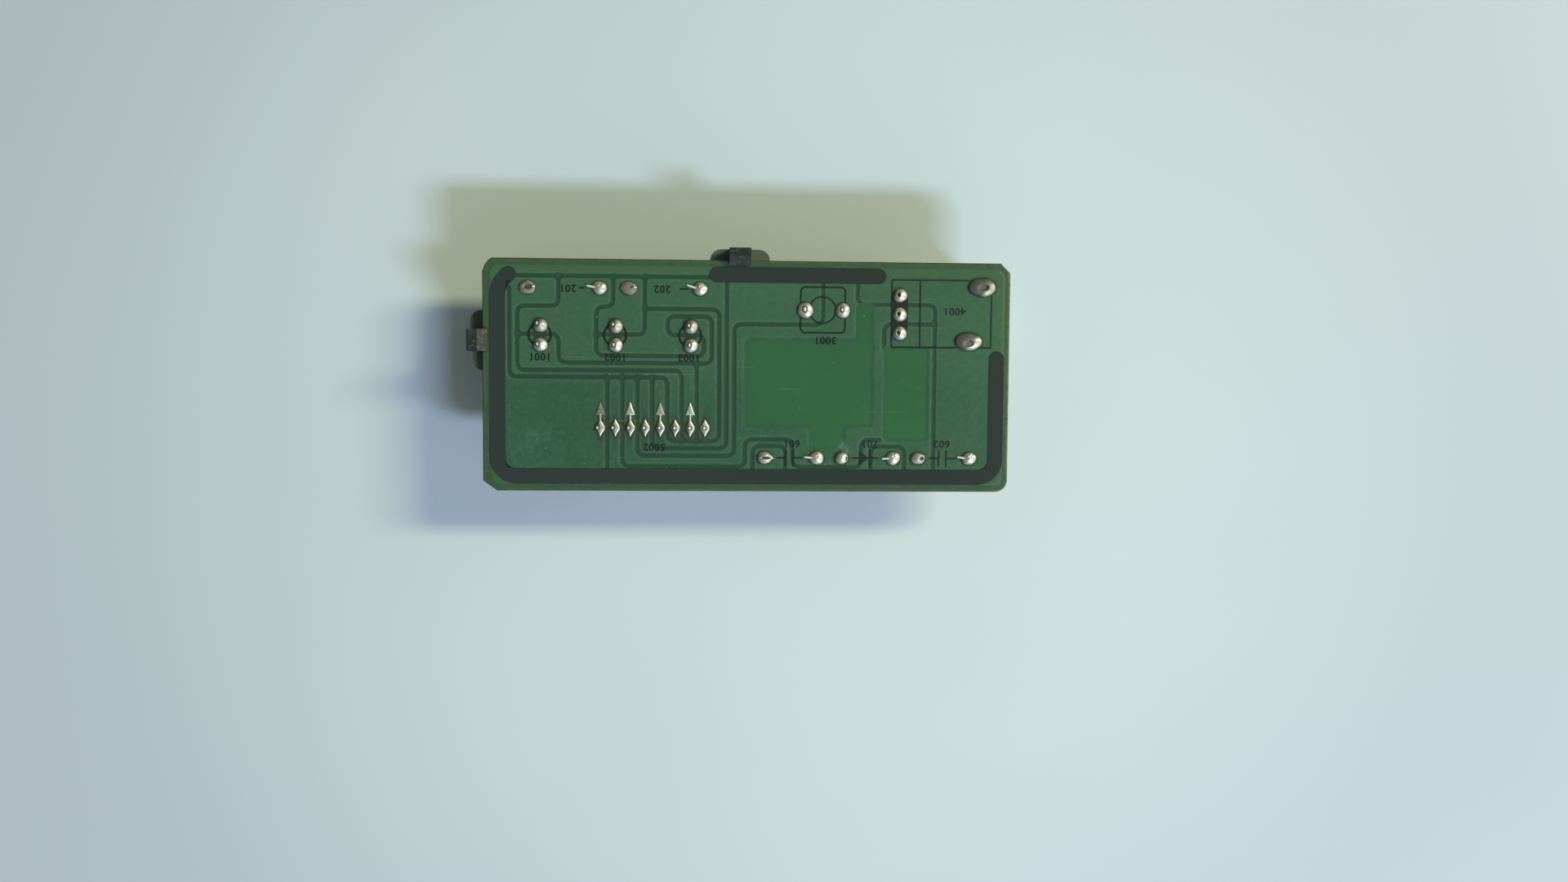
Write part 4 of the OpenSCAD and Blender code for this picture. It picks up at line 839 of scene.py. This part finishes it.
def banded(name, body, shade, bands, node, rough=0.32):
    """A lacquered part with rings of colour along its axis. Each band is a place from -1 to 1
    along the body, a half width in the same measure, and a colour."""
    low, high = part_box(node)
    m, t, s = material(name, Roughness=rough, IOR=1.5)
    x = add(t, "SeparateXYZ", add(t, "TexCoord", out="Object"))
    along = add(t, "Math", x, (low.x + high.x) / 2, **LESS)
    along = add(t, "Math", along, (high.x - low.x) / 2, operation="DIVIDE")
    base = over(t, lin(body), (cloud(t, 0.8, 4), 0.35, 0.7, 1, shade))
    for place, width, colour in bands:
        off = add(t, "Math", add(t, "Math", along, place, **LESS), **SIZE)
        base = over(t, base, (off, width + 0.02, width - 0.02, 1, colour))
    feed(s, Base_Color=base,
         Normal=add(t, "Bump", Height=cloud(t, 3, 2), Distance=0.01 * MM, Strength=0.4))
    return m


paint(holder_material(), "light_holder")
paint(moulded("moulded_black_nylon", "#191b1c", "#2f3233", 0.5)[0], "switch_base")
paint(moulded("moulded_grey_acetal", "#2a2c2e", "#3c3f41", 0.42)[0], "switch_plunger")
paint(moulded("moulded_natural_nylon", "#e6e1d2", "#cfc8b4", 0.45, 0.015, 0.35)[0],
      "header_housing")
paint(metal("rolled_tinplate", "#c3c6c2", "#8f938c", 0.3, (0.2, 0.2, 4), 3), "receiver_can")
paint(metal("stamped_stainless", "#cbccc9", "#a4a6a2", 0.28, (4, 0.3, 1), 5),
      "switch_cover", "switch_dome")
paint(metal("tinned_copper_wire", "#c8cac4", "#9a9c92", 0.3),
      "left_led_leads", "middle_led_leads", "right_led_leads", "receiver_leads",
      "switch_terminals", "left_resistor_leads", "right_resistor_leads",
      "left_capacitor_leads", "right_capacitor_leads", "diode_leads")
paint(metal("tinned_brass_pin", "#cfcab0", "#a59c74", 0.28), "header_pins")
paint(epoxy("filter_epoxy", "#1d1523", "#2c2036", 0.15, 0.15), "receiver_body")
paint(epoxy("diffused_green_epoxy", "#6fb487", "#8cc6a0", 0.45), "left_led")
paint(epoxy("diffused_amber_epoxy", "#d39a4a", "#dcae6b", 0.45), "middle_led")
paint(epoxy("diffused_red_epoxy", "#b8453f", "#c9635a", 0.45), "right_led")
FOUR_BANDS = [(-0.72, 0.07, "#7a4a2a"), (-0.36, 0.06, "#2a2a2a"), (-0.04, 0.06, "#b0392c"),
              (0.62, 0.06, "#b39445")]
for side in ("left", "right"):
    paint(banded("lacquered_carbon_film_" + side, "#c9b183", "#b7a076", FOUR_BANDS,
                 side + "_resistor"), side + "_resistor")
paint(epoxy("dipped_ceramic", "#b47f3a", "#c4924c", 0.0, 0.3), "left_capacitor", "right_capacitor")
CATHODE_BAND = [(-0.62, 0.16, "#17181a")]
paint(banded("drawn_diode_glass", "#b0512a", "#9f4825", CATHODE_BAND, "diode", 0.12), "diode")


# ---------------------------------------------------------------- stage, lamps and camera
def floor_material():
    """A plain pale painted board, with painted shade making it a little darker outwards, where the
    lamps' light falls off.
    """
    m, t, s = material("plain_pale_paint", Roughness=0.6, IOR=1.45)
    away = add(t, "VectorMath", add(t, "TexCoord", out="Object"), (0.006, -0.01, 0.0),
               operation="DISTANCE", out="Value")
    feed(s, Base_Color=over(t, lin("#bfced0"), (cloud(t, 0.012, 3), 0.3, 0.7, 1, "#c4d1d2"),
                            (away, 0.05, 0.115, 1, "#b4c0c6")))
    return m


def make_floor():
    """A wide flat square, its half side in mm, under the board."""
    half = 3000.0
    corners = [(-half, -half, 0), (half, -half, 0), (half, half, 0), (-half, half, 0)]
    ob = put_mesh("floor", corners, [(0, 1, 2, 3)], False)
    ob.data.materials.append(floor_material())


def stand(ob, *axes_and_place):
    """Gives an object its three axes and its place, each a vector in metres."""
    rows = [[c[k] for c in axes_and_place] for k in range(3)]
    ob.matrix_world = Matrix(rows + [[0, 0, 0, 1]])


def make_lamp(name, direction, size, watts, colour, distance=1.15):
    """A wide low soft box that faces the board from a direction."""
    data = bpy.data.lights.new(name, "AREA")
    data.shape = "RECTANGLE"
    data.size, data.size_y = size
    data.energy = watts
    data.color = colour
    z = unit(direction)
    x = unit(np.array([1, 0, 0]) - z * z[0])
    stand(new_object(name, data), x, np.cross(z, x), z, z * distance)


def make_world():
    """Dim overhead, dark low on the left and pale low on the right, by the direction looked
    in."""
    w = bpy.data.worlds.new("studio")
    bpy.context.scene.world = w
    w.use_nodes = True
    t = w.node_tree
    way = add(t, "TexCoord", out="Generated")
    side = add(t, "VectorMath", way, (0.92, -0.38, 0.0), operation="DOT_PRODUCT", out="Value")
    low = over(t, lin("#1d211e"), (side, -0.25, 0.75, 1, "#e6ecec"))
    tone = over(t, lin("#7c8385"), (add(t, "SeparateXYZ", way, out="Z"), 0.85, 0.4, 1, low))
    feed(t.nodes["Background"], Color=tone)


def make_camera():
    """A 30 mm lens nearly straight above the board. Its picture's right and down lie along two
    given directions, the second made square to the first."""
    data = bpy.data.cameras.new("camera")
    data.lens = 30.0
    data.sensor_width = 36.0
    data.clip_start = 0.01
    eye_u, eye_v, eye_up = 31.137, 14.173, 175.951
    right = unit((0.99866, 0.00797, 0.05122))
    down = np.array([0.00504, -0.99836, 0.05699])
    down = unit(down - right * (down @ right))
    eye = np.array([to_x(eye_u), to_y(eye_v), Z_FOIL + eye_up]) * MM
    ob = new_object("camera", data)
    stand(ob, right, -down, -np.cross(right, down), eye)
    bpy.context.scene.camera = ob


make_floor()
make_world()
make_lamp("cool_box", (7.8, -10.3, 10.8), (0.36, 0.11), 10.5, (0.65, 0.74, 1.0))
make_lamp("warm_box", (12.2, 6.0, 10.8), (0.42, 0.13), 9.6, (1.0, 0.963, 0.584))
make_camera()
bpy.context.scene.view_settings.view_transform = "Standard"
